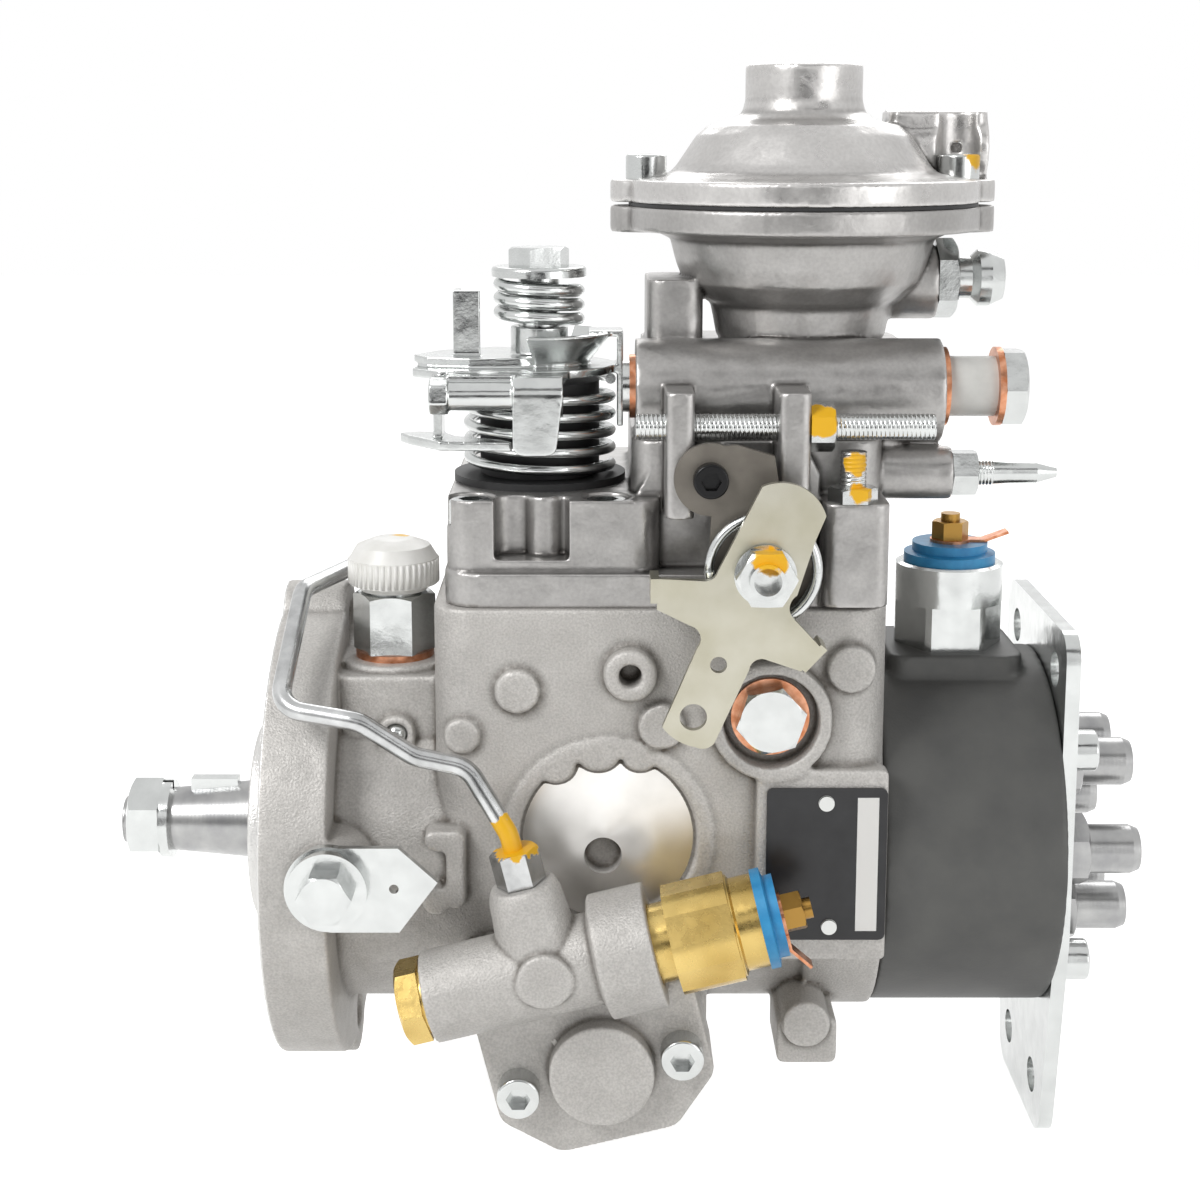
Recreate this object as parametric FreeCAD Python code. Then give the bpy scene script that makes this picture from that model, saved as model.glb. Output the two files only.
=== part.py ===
import FreeCAD, Part
import math, os

V = FreeCAD.Vector
X, Y, Z = V(1, 0, 0), V(0, 1, 0), V(0, 0, 1)
os.makedirs("parts", exist_ok=True)

# Rotary distributor diesel injection pump. Millimetres.
# Origin on the drive axis in the plane of the mounting flange, +X towards the outlets, +Z up.
# The levers face -Y.

# Clearances
RUN = 0.05          # radial clearance of a shaft in its bearing
FREE = 0.4          # gap beside a part that moves

# Straight runs in one turn of a spring
COIL_STEPS = 16

# Drive shaft and bearing
SHAFT_R = 10.0
SHAFT_CONE_X = -9.0
SHAFT_CONE_END_X = -31.0
SHAFT_CONE_R = 8.0
SHAFT_THREAD_R = 6.0
SHAFT_END_X = -43.3
CLAW_X = 66.0
CLAW_END_X = 74.0
KEY_W = 4.0
NUT_AF = 19.0
NUT_H = 8.0
BUSH_R = 12.5
BUSH_X = 3.0
BUSH_END_X = 27.0
SEAL_R = 16.0
SEAL_W = 6.0

# Mounting flange
FLANGE_R = 58.0
FLANGE_T = 16.0
EAR_R = 11.0
EAR_PCD_R = 52.0
EAR_HOLE_R = 5.25
PILOT_R = 25.0
PILOT_L = 8.0

# Housing
BARREL_R = 44.0
SIDE_Y = 44.0
TOP_Z = 66.0
BODY_X = 40.0
SHELF_Z = 46.5
BODY_END_X = 146.5
CORNER_R = 9.0
WALL = 12.0
ROLLER_PITCH_R = 23.0
RING_R = ROLLER_PITCH_R + 6.0
RING_BORE_R = ROLLER_PITCH_R - 6.0
CHAMBER_R = RING_R + 0.35
CHAMBER_BACK_R = RING_R + 4.0
CHAMBER_X = 28.0
CHAMBER_STEP_X = 90.0
GOV_CHAMBER_X = 44.5
GOV_CHAMBER_END_X = 128.0
GOV_SHAFT_X = 40.5
RECESS_X, RECESS_Z, RECESS_R = 81.0, 10.6, 21.0
RECESS_DEPTH = 1.6
PLUG_X, PLUG_Z = 118.9, 40.3
PLUG_FLOOR_Y = -SIDE_Y + 2.0
BALL_AT = (30.2, -31.0, 32.6)
BALL_R = 2.8

# Shaft locking bolt in the near side
LOCKB_X, LOCKB_Y, LOCKB_Z = 17.0, -58.4, 5.0

# Vane pump
PUMP_T = 12.0
PUMP_BORE_R = 21.5
PUMP_OFFSET = 2.5
ROTOR_R = 18.7
VANE_T = 2.0
VANES = 4
PLATE_T = 4.0

# Governor gears: pitch radius is teeth * module / 2
GEAR_MODULE = 1.5
DRIVE_TEETH = 37
GOV_TEETH = 23
GEAR_W = 6.0
GEAR_X = 46.0
GEAR_BACKLASH = 0.25
GOV_Z = GEAR_MODULE * (DRIVE_TEETH + GOV_TEETH) / 2

# Governor
GOV_PIN_R = 4.0
WEIGHTS = 4
WEIGHT_PIVOT_X = 57.5
WEIGHT_PIVOT_R = 14.0
WEIGHT_LEN = 10.0
TOE_R = 6.5
CAGE_X = 53.0
CAGE_END_X = 68.0
CAGE_R = 21.0
SLEEVE_X = 59.2
SLEEVE_END_X = 98.0
LEVER_PIVOT_X, LEVER_PIVOT_Z = 105.0, 32.0
LEVER_GAP = 0.4
SPRING_Y, SPRING_Z = -4.0, 62.0

# Roller ring, cam plate and plunger
RING_X = 72.5
RING_END_X = 85.5
ROLLERS = 3
ROLLER_R = 5.0
CAM_X = 87.0
CAM_END_X = 94.0
CAM_R = ROLLER_PITCH_R + 2.5
CAM_LOBES = 6
CAM_LIFT = 2.2
PLUNGER_R = 6.0
PLUNGER_END_X = 172.0
SPOOL_X = 104.5
SPOOL_END_X = 112.5
SPOOL_R = 11.0

# Timing device
TIMING_X, TIMING_Z = 79.5, -42.5
TIMING_R = 11.5
TIMING_STROKE = 5.0
TIMING_HALF = 50.0
PISTON_HALF = 30.0
TIMING_TILT = 14.0
TIMING_PIN_R = 3.5
TIMING_COVER_T = 7.0

# Distributor head and outlets
HEAD_R = 45.0
HEAD_END_X = 190.0
SPIGOT_X = 128.0
OUTLETS = 6
OUTLET_PCD_R = 22.0
HOLDER_R = 7.0
HOLDER_AF = 16.0
BRACKET_T = 3.5
BRACKET_LOW_Z = -76.0
BRACKET_HALF_W = 34.0

# Governor cover
COVER_X = 42.6
COVER_END_X = 146.5
COVER_Y = 42.0
COVER_FLANGE_T = 8.0
COVER_BLOCK_Z = 91.0
COVER_SEAT_Z = COVER_BLOCK_Z - 6.5
COVER_LUG_Z = 117.0
COVER_BLOCK_END_X = 93.0
COVER_MID_Y = 34.0
TOWER_X = 86.5

# Throttle shaft and levers
THROTTLE_X, THROTTLE_Y = 64.3, -8.0
CRANK_X, CRANK_Y, CRANK_R = 6.9, 1.2, 1.5
THROTTLE_R = 5.0
RETAINER_T = 2.4
SEAT_Z = COVER_BLOCK_Z + 26.5
MAIN_COIL_R = 17.4
MAIN_WIRE_R = 1.5
MAIN_COILS = 5
TOP_COIL_R = 9.6
TOP_WIRE_R = 1.6
TOP_COILS = 2.5
TOP_SPRING_Z = SEAT_Z + 11.1
TOP_SPRING_H = 11.8
THROTTLE_TOP_Z = TOP_SPRING_Z + TOP_SPRING_H + 0.2 + RETAINER_T

# Stop lever
STOP_X, STOP_Z = 116.0, 77.6
STOP_Y = -58.0
STOP_BOSS_Y = -47.6
LOCK_X, LOCK_Z = 104.1, 97.6
STOP_T = 2.0
STOP_R = 4.0
STOP_COIL_R = 12.2
STOP_WIRE_R = 1.2

# Boost compensator
BOOST_X = 128.6
BOOST_SEAM_Z = 157.8
BOOST_R = 43.0
BOOST_SCREW_R = 38.2
BOOST_CAP_H = 33.1
BOOST_NECK_R = 14.2
BOOST_EAR_Z = BOOST_SEAM_Z + 5.8
FEELER_Z = BOOST_SEAM_Z - 47.8
DIAPHRAGM_T = 0.8

# Adjusting rod, stud and full-load screw
ROD_Y, ROD_Z = -42.0, 108.6
ROD_X, ROD_END_X = 87.3, 155.6
ROD_R = 2.9
STUD_X, STUD_TOP_Z = 137.2, 103.0
LOAD_Y, LOAD_Z = -24.0, 95.0

# Return union and hose barb
RETURN_Y, RETURN_Z = -20.0, 115.2
RETURN_X = 160.0
BARB_Z = BOOST_SEAM_Z - 18.3

# Stop solenoid
SOL_X = 167.4
SOL_Z = 47.5
SOL_H = 21.0
TERMINAL_SEAL_H = 4.8

# Inlet union
INLET_X, INLET_Y, INLET_Z = 28.5, -15.0, 48.0

# Cold start valve: axis leans up to the right
COLD_OUT = 12.0
COLD_Y = -TIMING_HALF - COLD_OUT
COLD_X, COLD_Z = 36.0, -21.8
COLD_TILT = 14.0
COLD_LEN = 57.5
COLD_STEP = 43.5
COLD_CAP_END = COLD_LEN + 24.6
TAB_T = 0.7

# Feed pipe
PIPE_R = 2.25
PIPE_BEND_R = 7.0


def rad(angle):
    return math.radians(angle)


def cyl(r, at, along, length):
    return Part.makeCylinder(r, length, V(*at), along)


def tube(ro, ri, at, along, length):
    start = V(*at) - along * 1.0
    return cyl(ro, at, along, length).cut(Part.makeCylinder(ri, length + 2, start, along))


def box(x0, x1, y0, y1, z0, z1):
    return Part.makeBox(x1 - x0, y1 - y0, z1 - z0, V(x0, y0, z0))


def rounded_box(x0, x1, y0, y1, z0, z1, r):
    body = box(x0, x1, y0, y1, z0, z1)
    upright = [e for e in body.Edges if abs(e.tangentAt(e.FirstParameter).z) > 0.99]
    return body.makeFillet(r, upright)


def place(shape, at, along):
    turn = FreeCAD.Rotation(Z, along)
    out = shape.copy()
    out.Placement = FreeCAD.Placement(V(*at), turn)
    return out


def revolved(profile, at=(0, 0, 0), along=Z):
    """Solid of revolution; profile points are (radius, height), joined by straight lines."""
    wire = Part.makePolygon([V(r, 0, h) for r, h in profile] + [V(profile[0][0], 0, profile[0][1])])
    solid = Part.Face(wire).revolve(V(0, 0, 0), Z, 360)
    return place(solid, at, along)


def hexagon(af, at, along, length, turn=0.0):
    r = af / math.sqrt(3)
    pts = [V(r * math.cos(rad(60 * i + turn)), r * math.sin(rad(60 * i + turn)), 0) for i in range(7)]
    return place(Part.Face(Part.makePolygon(pts)).extrude(V(0, 0, length)), at, along)


def hex_chamfered(af, at, along, length, turn=0.0):
    """Hexagon with the corners of its outer face turned off."""
    prism = hexagon(af, (0, 0, 0), Z, length, turn)
    r = af / math.sqrt(3)
    turned = revolved([(0, 0), (r, 0), (r, length - (r - af / 2) * 0.6), (af / 2, length), (0, length)])
    return place(prism.common(turned), at, along)


def plate(points, z0, thickness, corner=0.0):
    """Flat plate drawn in X and Z and laid in the plane y = z0, thickness towards +Y."""
    face = Part.Face(Part.makePolygon([V(x, z0, z) for x, z in points + points[:1]]))
    solid = face.extrude(V(0, thickness, 0))
    if corner > 0:
        edges = [e for e in solid.Edges if abs(e.tangentAt(e.FirstParameter).y) > 0.99]
        solid = solid.makeFillet(corner, edges)
    return solid


def drawn(start, steps, y, thickness):
    """Flat plate in the plane y; each step is the end of a line, or the middle and the end of an arc."""
    edges = []
    last = V(start[0], y, start[1])
    for step in steps:
        points = [V(x, y, z) for x, z in step]
        piece = Part.Arc(last, *points) if len(points) == 2 else Part.LineSegment(last, points[0])
        edges.append(piece.toShape())
        last = points[-1]
    return Part.Face(Part.Wire(edges)).extrude(V(0, thickness, 0))


def joined(shapes):
    return shapes[0].multiFuse(shapes[1:]).removeSplitter()


def less(shape, tools):
    return shape.cut(Part.makeCompound(tools) if len(tools) == 1 else tools[0].multiFuse(tools[1:]))


def around(count, start=0.0):
    return [start + 360.0 * i / count for i in range(count)]


def polar_x(r, angle, x, z0=0.0):
    """Point at radius r about the line y = 0, z = z0; angle 0 is +Z, turning towards +Y."""
    return (x, r * math.sin(rad(angle)), z0 + r * math.cos(rad(angle)))


def save(name, shapes):
    items = shapes if isinstance(shapes, list) else [shapes]
    solids = [s for item in items for s in item.Solids]
    shape = solids[0] if len(solids) == 1 else Part.makeCompound(solids)
    shape.exportStep("parts/" + name + ".step")


def coil(r, wire_r, pitch, turns, at):
    """Round-wire helical spring that stands on +Z, in short straight runs with mitred corners."""
    points = []
    for i in range(int(turns * COIL_STEPS) + 1):
        turn = 2 * math.pi * i / COIL_STEPS
        points.append(V(r * math.cos(turn), r * math.sin(turn), pitch * i / COIL_STEPS))
    ring = Part.Wire(Part.makeCircle(wire_r, points[0], (points[1] - points[0]).normalize()))
    out = Part.makePolygon(points).makePipeShell([ring], True, False, 1)
    out.translate(V(*at))
    return out


def cap_screw(at, along, head_r=5.0, head_h=6.0, r=3.0, length=14.0):
    """Socket head cap screw; at is the centre of the seat under its head."""
    head = cyl(head_r, (0, 0, 0), Z, head_h)
    top = [e for e in head.Edges if abs(e.CenterOfMass.z - head_h) < 0.01]
    head = head.makeFillet(head_r * 0.14, top)
    body = head.fuse(cyl(r, (0, 0, -length), Z, length))
    body = body.cut(hexagon(head_r, (0, 0, head_h * 0.45), Z, head_h))
    return place(body.removeSplitter(), at, along)


def gear(teeth, width, x, axis_z, phase):
    """Spur gear about an X axis; phase turns a tooth away from +Z."""
    pitch_r = GEAR_MODULE * teeth / 2
    tip = pitch_r + GEAR_MODULE * 0.95
    root = pitch_r - GEAR_MODULE * 1.25
    base = pitch_r * math.cos(rad(20))
    half = math.pi / (2 * teeth) - GEAR_BACKLASH / (2 * pitch_r)
    involute_at_pitch = math.tan(rad(20)) - rad(20)
    points = []
    for i in range(teeth):
        middle = 2 * math.pi * i / teeth + rad(phase)
        flank = []
        for r in (root, max(base, root + 0.2), pitch_r, tip):
            roll = math.acos(min(1.0, base / r))
            involute = math.tan(roll) - roll
            flank.append((r, half + involute_at_pitch - involute))
        for r, a in flank:
            points.append(V(0, r * math.sin(middle - a), r * math.cos(middle - a)))
        for r, a in reversed(flank):
            points.append(V(0, r * math.sin(middle + a), r * math.cos(middle + a)))
    wire = Part.makePolygon(points + points[:1])
    solid = Part.Face(wire).extrude(V(width, 0, 0))
    out = solid.copy()
    out.translate(V(x, 0, axis_z))
    return out


def pipe(points, r, bend):
    """Round pipe along straight runs joined by arcs of one bend radius."""
    edges = []
    last = V(*points[0])
    for i in range(1, len(points) - 1):
        p = V(*points[i])
        into = (p - V(*points[i - 1])).normalize()
        out = (V(*points[i + 1]) - p).normalize()
        turn = into.getAngle(out)
        cut = bend * math.tan(turn / 2)
        a = p - into * cut
        b = p + out * cut
        inward = (out - into).normalize()
        middle = p + inward * (bend / math.cos(turn / 2) - bend)
        edges.append(Part.LineSegment(last, a).toShape())
        edges.append(Part.Arc(a, middle, b).toShape())
        last = b
    edges.append(Part.LineSegment(last, V(*points[-1])).toShape())
    path = Part.Wire(edges)
    ring = Part.Wire(Part.makeCircle(r, V(*points[0]), (V(*points[1]) - V(*points[0])).normalize()))
    return path.makePipeShell([ring], True, True)


def tilted(x, z):
    """Point of the cold start valve's own plane: x along its axis, z across it."""
    c, s = math.cos(rad(COLD_TILT)), math.sin(rad(COLD_TILT))
    return (COLD_X + x * c - z * s, COLD_Z + x * s + z * c)


COLD_AXIS = V(math.cos(rad(COLD_TILT)), 0, math.sin(rad(COLD_TILT)))
COLD_UP = V(-math.sin(rad(COLD_TILT)), 0, math.cos(rad(COLD_TILT)))


def cold_point(x, y, z):
    px, pz = tilted(x, z)
    return (px, COLD_Y + y, pz)


def timing_point(dx, dz, y):
    """Point near the timing device, drawn in its tilted plane."""
    c, s = math.cos(rad(TIMING_TILT)), math.sin(rad(TIMING_TILT))
    return (TIMING_X + dx * c - dz * s, y, TIMING_Z + dx * s + dz * c)


# Housing

LOW_SCREWS = [(-19.6, 1.5), (19.6, 1.5)]
TIMING_SCREWS = LOW_SCREWS + [(-19.6, 27.5), (19.6, 27.5)]
COVER_SCREWS = [(48.8, -34.2), (48.8, 34.2), (139.0, 35.5), (80.6, -34.2)]
HEAD_SCREWS = (45, 135, 225, 315)
HEAD_SCREW_R = 38.0


def flange_outer():
    parts = [cyl(FLANGE_R, (0, 0, 0), X, FLANGE_T)]
    for angle in (0, 90, 180):
        parts.append(cyl(EAR_R, polar_x(EAR_PCD_R, angle, 0), X, FLANGE_T))
    parts.append(cyl(PILOT_R, (-PILOT_L, 0, 0), X, PILOT_L))
    return parts


def timing_pad(y, t):
    corners = [(-26, -6), (-14, -17), (14, -17), (26, -6), (26, 34), (-26, 34)]
    pts = [timing_point(dx, dz, 0) for dx, dz in corners]
    return plate([(p[0], p[2]) for p in pts], y, t, 5.0)


def housing_outer():
    parts = flange_outer()
    parts.append(cyl(BARREL_R, (FLANGE_T - 1, 0, 0), X, BODY_X - FLANGE_T + 4))
    parts.append(cyl(SIDE_Y, (BODY_X, 0, 0), X, BODY_END_X - BODY_X))
    parts.append(rounded_box(BODY_X, BODY_END_X, -SIDE_Y, SIDE_Y, -4, TOP_Z, CORNER_R))
    parts.append(rounded_box(FLANGE_T - 1, BODY_X + 12, -31, 31, 0, SHELF_Z, 5))
    parts.append(cyl(HEAD_R + 1, (BODY_END_X - 18, 0, 0), X, 18))
    parts.append(cyl(19.0, (TIMING_X, -TIMING_HALF + 4, TIMING_Z), Y, 2 * TIMING_HALF - 8))
    parts.append(timing_pad(-TIMING_HALF, 12))
    parts.append(timing_pad(TIMING_HALF - 12, 12))
    parts.append(cyl(13.5, (INLET_X, INLET_Y, 20), Z, INLET_Z - 20))
    parts.append(box(TIMING_X - 30, TIMING_X + 26, -30, 30, -50, -20))
    return parts


def housing_details():
    near = -SIDE_Y
    parts = []
    for x, z, r, h in ((59.8, 47.0, 5.2, 2.6), (46.8, 36.1, 4.2, 2.0), (86.1, 51.3, 6.2, 4.5),
                       (93.5, 38.5, 5.4, 2.2), (137.5, 52.3, 5.6, 2.4)):
        parts.append(cyl(r, (x, near - h, z), Y, h + 2))
    parts.append(cyl(14.2, (PLUG_X, near - 4, PLUG_Z), Y, 8))
    parts.append(rounded_plate(115.7, 147.0, -18.4, 28.5, near - 3.5, 6))
    parts.append(cyl(5.8, (128.3, near - 3, -35.0), Y, 18))
    parts.append(rounded_plate(121.5, 136.0, -46.0, -34.0, near - 0.5, 20))
    parts.append(rounded_plate(38.0, 47.0, 9.0, 14.0, near - 5, 10))
    parts.append(rounded_plate(43.0, 47.5, -5.0, 14.0, near - 5, 10))
    parts.append(cyl(3.4, (40.5, near - 5, -3.2), Y, 10))
    parts.append(cyl(RECESS_R + 3.5, (RECESS_X, near - 0.8, RECESS_Z), Y, 6))
    parts.append(cyl(9.0, (LOCKB_X, LOCKB_Y, LOCKB_Z), Y, 26))
    parts.append(cyl(BALL_R + 1.8, (BALL_AT[0], BALL_AT[1] - 2.4, BALL_AT[2]), Y, 14))
    return parts


def rounded_plate(x0, x1, z0, z1, y, t, corner=2.0):
    return plate([(x0, z0), (x1, z0), (x1, z1), (x0, z1)], y, t, corner)


def housing_cavities():
    inner_y = SIDE_Y - WALL
    tools = [cyl(SHAFT_R + 1.0, (-PILOT_L - 1, 0, 0), X, CHAMBER_X + PILOT_L + 2)]
    tools.append(cyl(SEAL_R, (-PILOT_L - 1, 0, 0), X, SEAL_W + 2.5))
    tools.append(cyl(BUSH_R, (BUSH_X, 0, 0), X, BUSH_END_X - BUSH_X))
    tools.append(cyl(CHAMBER_R, (CHAMBER_X, 0, 0), X, BODY_END_X - CHAMBER_X + 1))
    tools.append(cyl(CHAMBER_R + 1.5, (GEAR_X - 1.5, 0, 0), X, GEAR_W + 3))
    tools.append(cyl(CHAMBER_BACK_R + RUN, (CHAMBER_STEP_X, 0, 0), X, BODY_END_X - CHAMBER_STEP_X + 1))
    tools.append(rounded_box(GOV_CHAMBER_X, GOV_CHAMBER_END_X, -inner_y, inner_y, 12, TOP_Z + 1, 6))
    tools.append(cyl(TIMING_R + RUN, (TIMING_X, -TIMING_HALF - 1, TIMING_Z), Y, 2 * TIMING_HALF + 2))
    slot = (TIMING_STROKE + TIMING_PIN_R + 2)
    tools.append(box(TIMING_X - TIMING_PIN_R - 1, TIMING_X + TIMING_PIN_R + 1, -slot, slot, TIMING_Z, -20))
    for angle in (0, 90, 180):
        tools.append(cyl(EAR_HOLE_R, polar_x(EAR_PCD_R, angle, -1), X, FLANGE_T + 2))
    for side, screws in ((-1, LOW_SCREWS), (1, TIMING_SCREWS)):
        for dx, dz in screws:
            p = timing_point(dx, dz, side * (TIMING_HALF + 1))
            tools.append(cyl(3.0, p, Y * -side, 11))
    tools.append(cyl(15.0, cold_point(COLD_STEP - 1, 0, 0), COLD_AXIS, COLD_LEN - COLD_STEP + 31))
    for angle in HEAD_SCREWS:
        tools.append(cyl(3.0, polar_x(HEAD_SCREW_R, angle, BODY_END_X - 14), X, 15))
    for x, y in COVER_SCREWS:
        tools.append(cyl(3.0, (x, y, TOP_Z - 9), Z, 10))
    tools.append(cyl(6.0, (INLET_X, INLET_Y, INLET_Z - 12), Z, 14))
    tools.append(cyl(2.7, (86.1, -SIDE_Y - 5, 51.3), Y, 8))
    tools.append(cyl(11.2, (PLUG_X, -SIDE_Y - 5, PLUG_Z), Y, PLUG_FLOOR_Y + SIDE_Y + 5))
    tools.append(cyl(7.0, (PLUG_X, PLUG_FLOOR_Y - 1, PLUG_Z), Y, 4.0))
    tools.append(cyl(BALL_R, (BALL_AT[0], BALL_AT[1] - 6, BALL_AT[2]), Y, 9.0))
    tools.append(recess())
    tools.append(cyl(4.4, (79.8, -SIDE_Y - 3, 5.9), Y, 9))
    tools.append(cyl(4.0, (LOCKB_X, LOCKB_Y - 1, LOCKB_Z), Y, 16))
    return tools


def recess():
    """Round machined face; cast metal reaches into its upper edge in three lobes."""
    face = cyl(RECESS_R, (RECESS_X, -SIDE_Y - 3, RECESS_Z), Y, 3 + RECESS_DEPTH)
    lobes = []
    reach = RECESS_R + 1
    for angle, r in ((70, 4.2), (96, 5.4), (124, 4.6)):
        x = RECESS_X + reach * math.cos(rad(angle))
        z = RECESS_Z + reach * math.sin(rad(angle))
        lobes.append(cyl(r, (x, -SIDE_Y - 4, z), Y, 8))
    return less(face, lobes)


def pump_housing():
    body = joined(housing_outer() + housing_details())
    trim = box(-PILOT_L, BODY_END_X, LOCKB_Y - 5, EAR_PCD_R + EAR_R, -EAR_PCD_R - EAR_R - 7, TOP_Z)
    body = body.common(trim)
    pins = gov_shaft_bore() + lever_pin_bores()
    return less(body, housing_cavities() + pins)


def gov_shaft_bore():
    return [cyl(GOV_PIN_R, (GOV_SHAFT_X, 0, GOV_Z), X, 9)]


def lever_pin_bores():
    inner_y = SIDE_Y - WALL
    return [cyl(3.0, (LEVER_PIVOT_X, side * (inner_y - 1), LEVER_PIVOT_Z), Y * side, 6) for side in (-1, 1)]


# Drive train

def drive_shaft():
    shaft = revolved([(0, SHAFT_END_X), (SHAFT_THREAD_R - 1, SHAFT_END_X),
                      (SHAFT_THREAD_R, SHAFT_END_X + 1), (SHAFT_THREAD_R, SHAFT_CONE_END_X),
                      (SHAFT_CONE_R, SHAFT_CONE_END_X), (SHAFT_R, SHAFT_CONE_X), (SHAFT_R, CLAW_X),
                      (0, CLAW_X)], (0, 0, 0), X)
    claws = cyl(SHAFT_R + 4, (CLAW_X - 4, 0, 0), X, CLAW_END_X - CLAW_X + 4)
    claws = claws.cut(box(CLAW_X, CLAW_END_X + 1, -5, 5, -20, 20))
    claws = claws.cut(cyl(9.0 + FREE, (CLAW_X, 0, 0), X, 20))
    shaft = shaft.fuse(claws)
    slot = box(SHAFT_CONE_END_X + 5, SHAFT_CONE_X - 5, -KEY_W / 2, KEY_W / 2, SHAFT_R - 5, SHAFT_R + 5)
    gear_slot = box(GEAR_X, GEAR_X + GEAR_W, -2, 2, SHAFT_R - 2.5, SHAFT_R + 3)
    return shaft.cut(slot.fuse(gear_slot)).removeSplitter()


def shaft_fasteners():
    nut_x = SHAFT_CONE_END_X - 2.4 - NUT_H
    nut = hex_chamfered(NUT_AF, (nut_x + NUT_H, 0, 0), X * -1, NUT_H)
    nut = nut.cut(cyl(SHAFT_THREAD_R, (nut_x - 1, 0, 0), X, NUT_H + 2))
    washer = tube(10.0, SHAFT_THREAD_R, (SHAFT_CONE_END_X - 2.4, 0, 0), X, 2.4)
    washer = washer.cut(box(-60, 0, -0.8, 0.8, 0, 20))
    middle = (SHAFT_CONE_END_X + SHAFT_CONE_X) / 2
    half = (SHAFT_CONE_X - SHAFT_CONE_END_X) / 2 - 5
    key = box(middle - half, middle + half, -KEY_W / 2, KEY_W / 2, SHAFT_R - 5, SHAFT_R + 1.2)
    return [nut, washer, key]


def shaft_seal():
    body = tube(SEAL_R, SHAFT_R + RUN, (-PILOT_L + 0.3, 0, 0), X, SEAL_W)
    groove = tube(SEAL_R - 2.5, SHAFT_R + 2.0, (-PILOT_L, 0, 0), X, 3.0)
    return body.cut(groove)


def shaft_bush():
    bush = tube(BUSH_R, SHAFT_R + RUN, (BUSH_X, 0, 0), X, BUSH_END_X - BUSH_X)
    return bush.cut(box(BUSH_X + 4, BUSH_END_X - 4, -1, 1, 8, 11.2))


def pump_ring():
    ring = cyl(CHAMBER_R - RUN, (CHAMBER_X, 0, 0), X, PUMP_T)
    ring = ring.cut(cyl(PUMP_BORE_R, (CHAMBER_X - 1, PUMP_OFFSET, 0), X, PUMP_T + 2))
    return ring


def pump_plate():
    plate_x = CHAMBER_X + PUMP_T
    disc = tube(CHAMBER_R - RUN, SHAFT_R + RUN, (plate_x, 0, 0), X, PLATE_T)
    for angle in (60, 180, 300):
        disc = disc.cut(cyl(2.0, polar_x(25.5, angle, plate_x - 1), X, PLATE_T + 2))
    return disc


def pump_rotor():
    x = CHAMBER_X + FREE / 4
    width = PUMP_T - FREE / 2
    rotor = tube(ROTOR_R, SHAFT_R, (x, 0, 0), X, width)
    parts = []
    for angle in around(VANES, 45):
        reach = ROTOR_R - 0.1
        vane = box(x, x + width, -VANE_T / 2, VANE_T / 2, ROTOR_R - 7.5, reach)
        vane.rotate(V(0, 0, 0), X, -angle)
        slot = box(x - 1, x + width + 1, -VANE_T / 2 - RUN, VANE_T / 2 + RUN, ROTOR_R - 7.6, ROTOR_R + 2)
        slot.rotate(V(0, 0, 0), X, -angle)
        rotor = rotor.cut(slot)
        parts.append(vane)
    return [rotor] + parts


def governor_drive_gear():
    wheel = gear(DRIVE_TEETH, GEAR_W, GEAR_X, 0.0, 0.0)
    wheel = wheel.cut(cyl(SHAFT_R, (GEAR_X - 1, 0, 0), X, GEAR_W + 2))
    dampers = []
    for angle in (60, 180, 300):
        hole = cyl(4.0, polar_x(18.5, angle, GEAR_X - 1), X, GEAR_W + 2)
        wheel = wheel.cut(hole)
        dampers.append(cyl(4.0, polar_x(18.5, angle, GEAR_X), X, GEAR_W))
    key = box(GEAR_X, GEAR_X + GEAR_W, -2, 2, SHAFT_R - 2.5, SHAFT_R + 0.6)
    return [wheel.fuse(key).removeSplitter()] + dampers


def cross_disc():
    hub = tube(9.0, 3.0, (CLAW_X + 1, 0, 0), X, 10.5)
    parts = [hub, box(CLAW_X + 1, CLAW_END_X, -4.9, 4.9, 6, 13)]
    parts.append(box(CLAW_X + 1, CLAW_END_X, -4.9, 4.9, -13, -6))
    parts.append(box(CLAW_END_X + 0.5, CLAW_END_X + 3.5, 6, 13, -4.9, 4.9))
    parts.append(box(CLAW_END_X + 0.5, CLAW_END_X + 3.5, -13, -6, -4.9, 4.9))
    body = joined(parts)
    return body.cut(cyl(3.0, (CLAW_X, 0, 0), X, 12))


def roller_ring():
    ring = tube(RING_R, RING_BORE_R, (RING_X, 0, 0), X, RING_END_X - RING_X)
    roller_x = RING_END_X - ROLLER_R + 1.2
    rollers = []
    for angle in around(ROLLERS, 30):
        out = V(0, math.sin(rad(angle)), math.cos(rad(angle)))
        start = V(roller_x, 0, 0) + out * (ROLLER_PITCH_R - 4.2)
        pocket = Part.makeCylinder(ROLLER_R + 0.3, 8.4, start - out * 0.2, out)
        ring = ring.cut(pocket)
        pin_start = V(roller_x, 0, 0) + out * (RING_BORE_R + 1)
        pin = Part.makeCylinder(1.8, RING_R - RING_BORE_R - 1.5, pin_start, out)
        ring = ring.cut(pin)
        roller = Part.makeCylinder(ROLLER_R, 8.0, start, out).cut(pin)
        rollers += [roller, pin]
    top = -RING_R + 5
    neck = top - TIMING_Z - TIMING_R - 0.8
    pin = joined([cyl(3.0, (TIMING_X, 0, top), Z * -1, neck),
                  cyl(1.6, (TIMING_X, 0, top), Z * -1, top - TIMING_Z),
                  Part.makeSphere(2.9, V(TIMING_X, 0, TIMING_Z))])
    return [ring.cut(pin)] + rollers + [pin]


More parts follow.
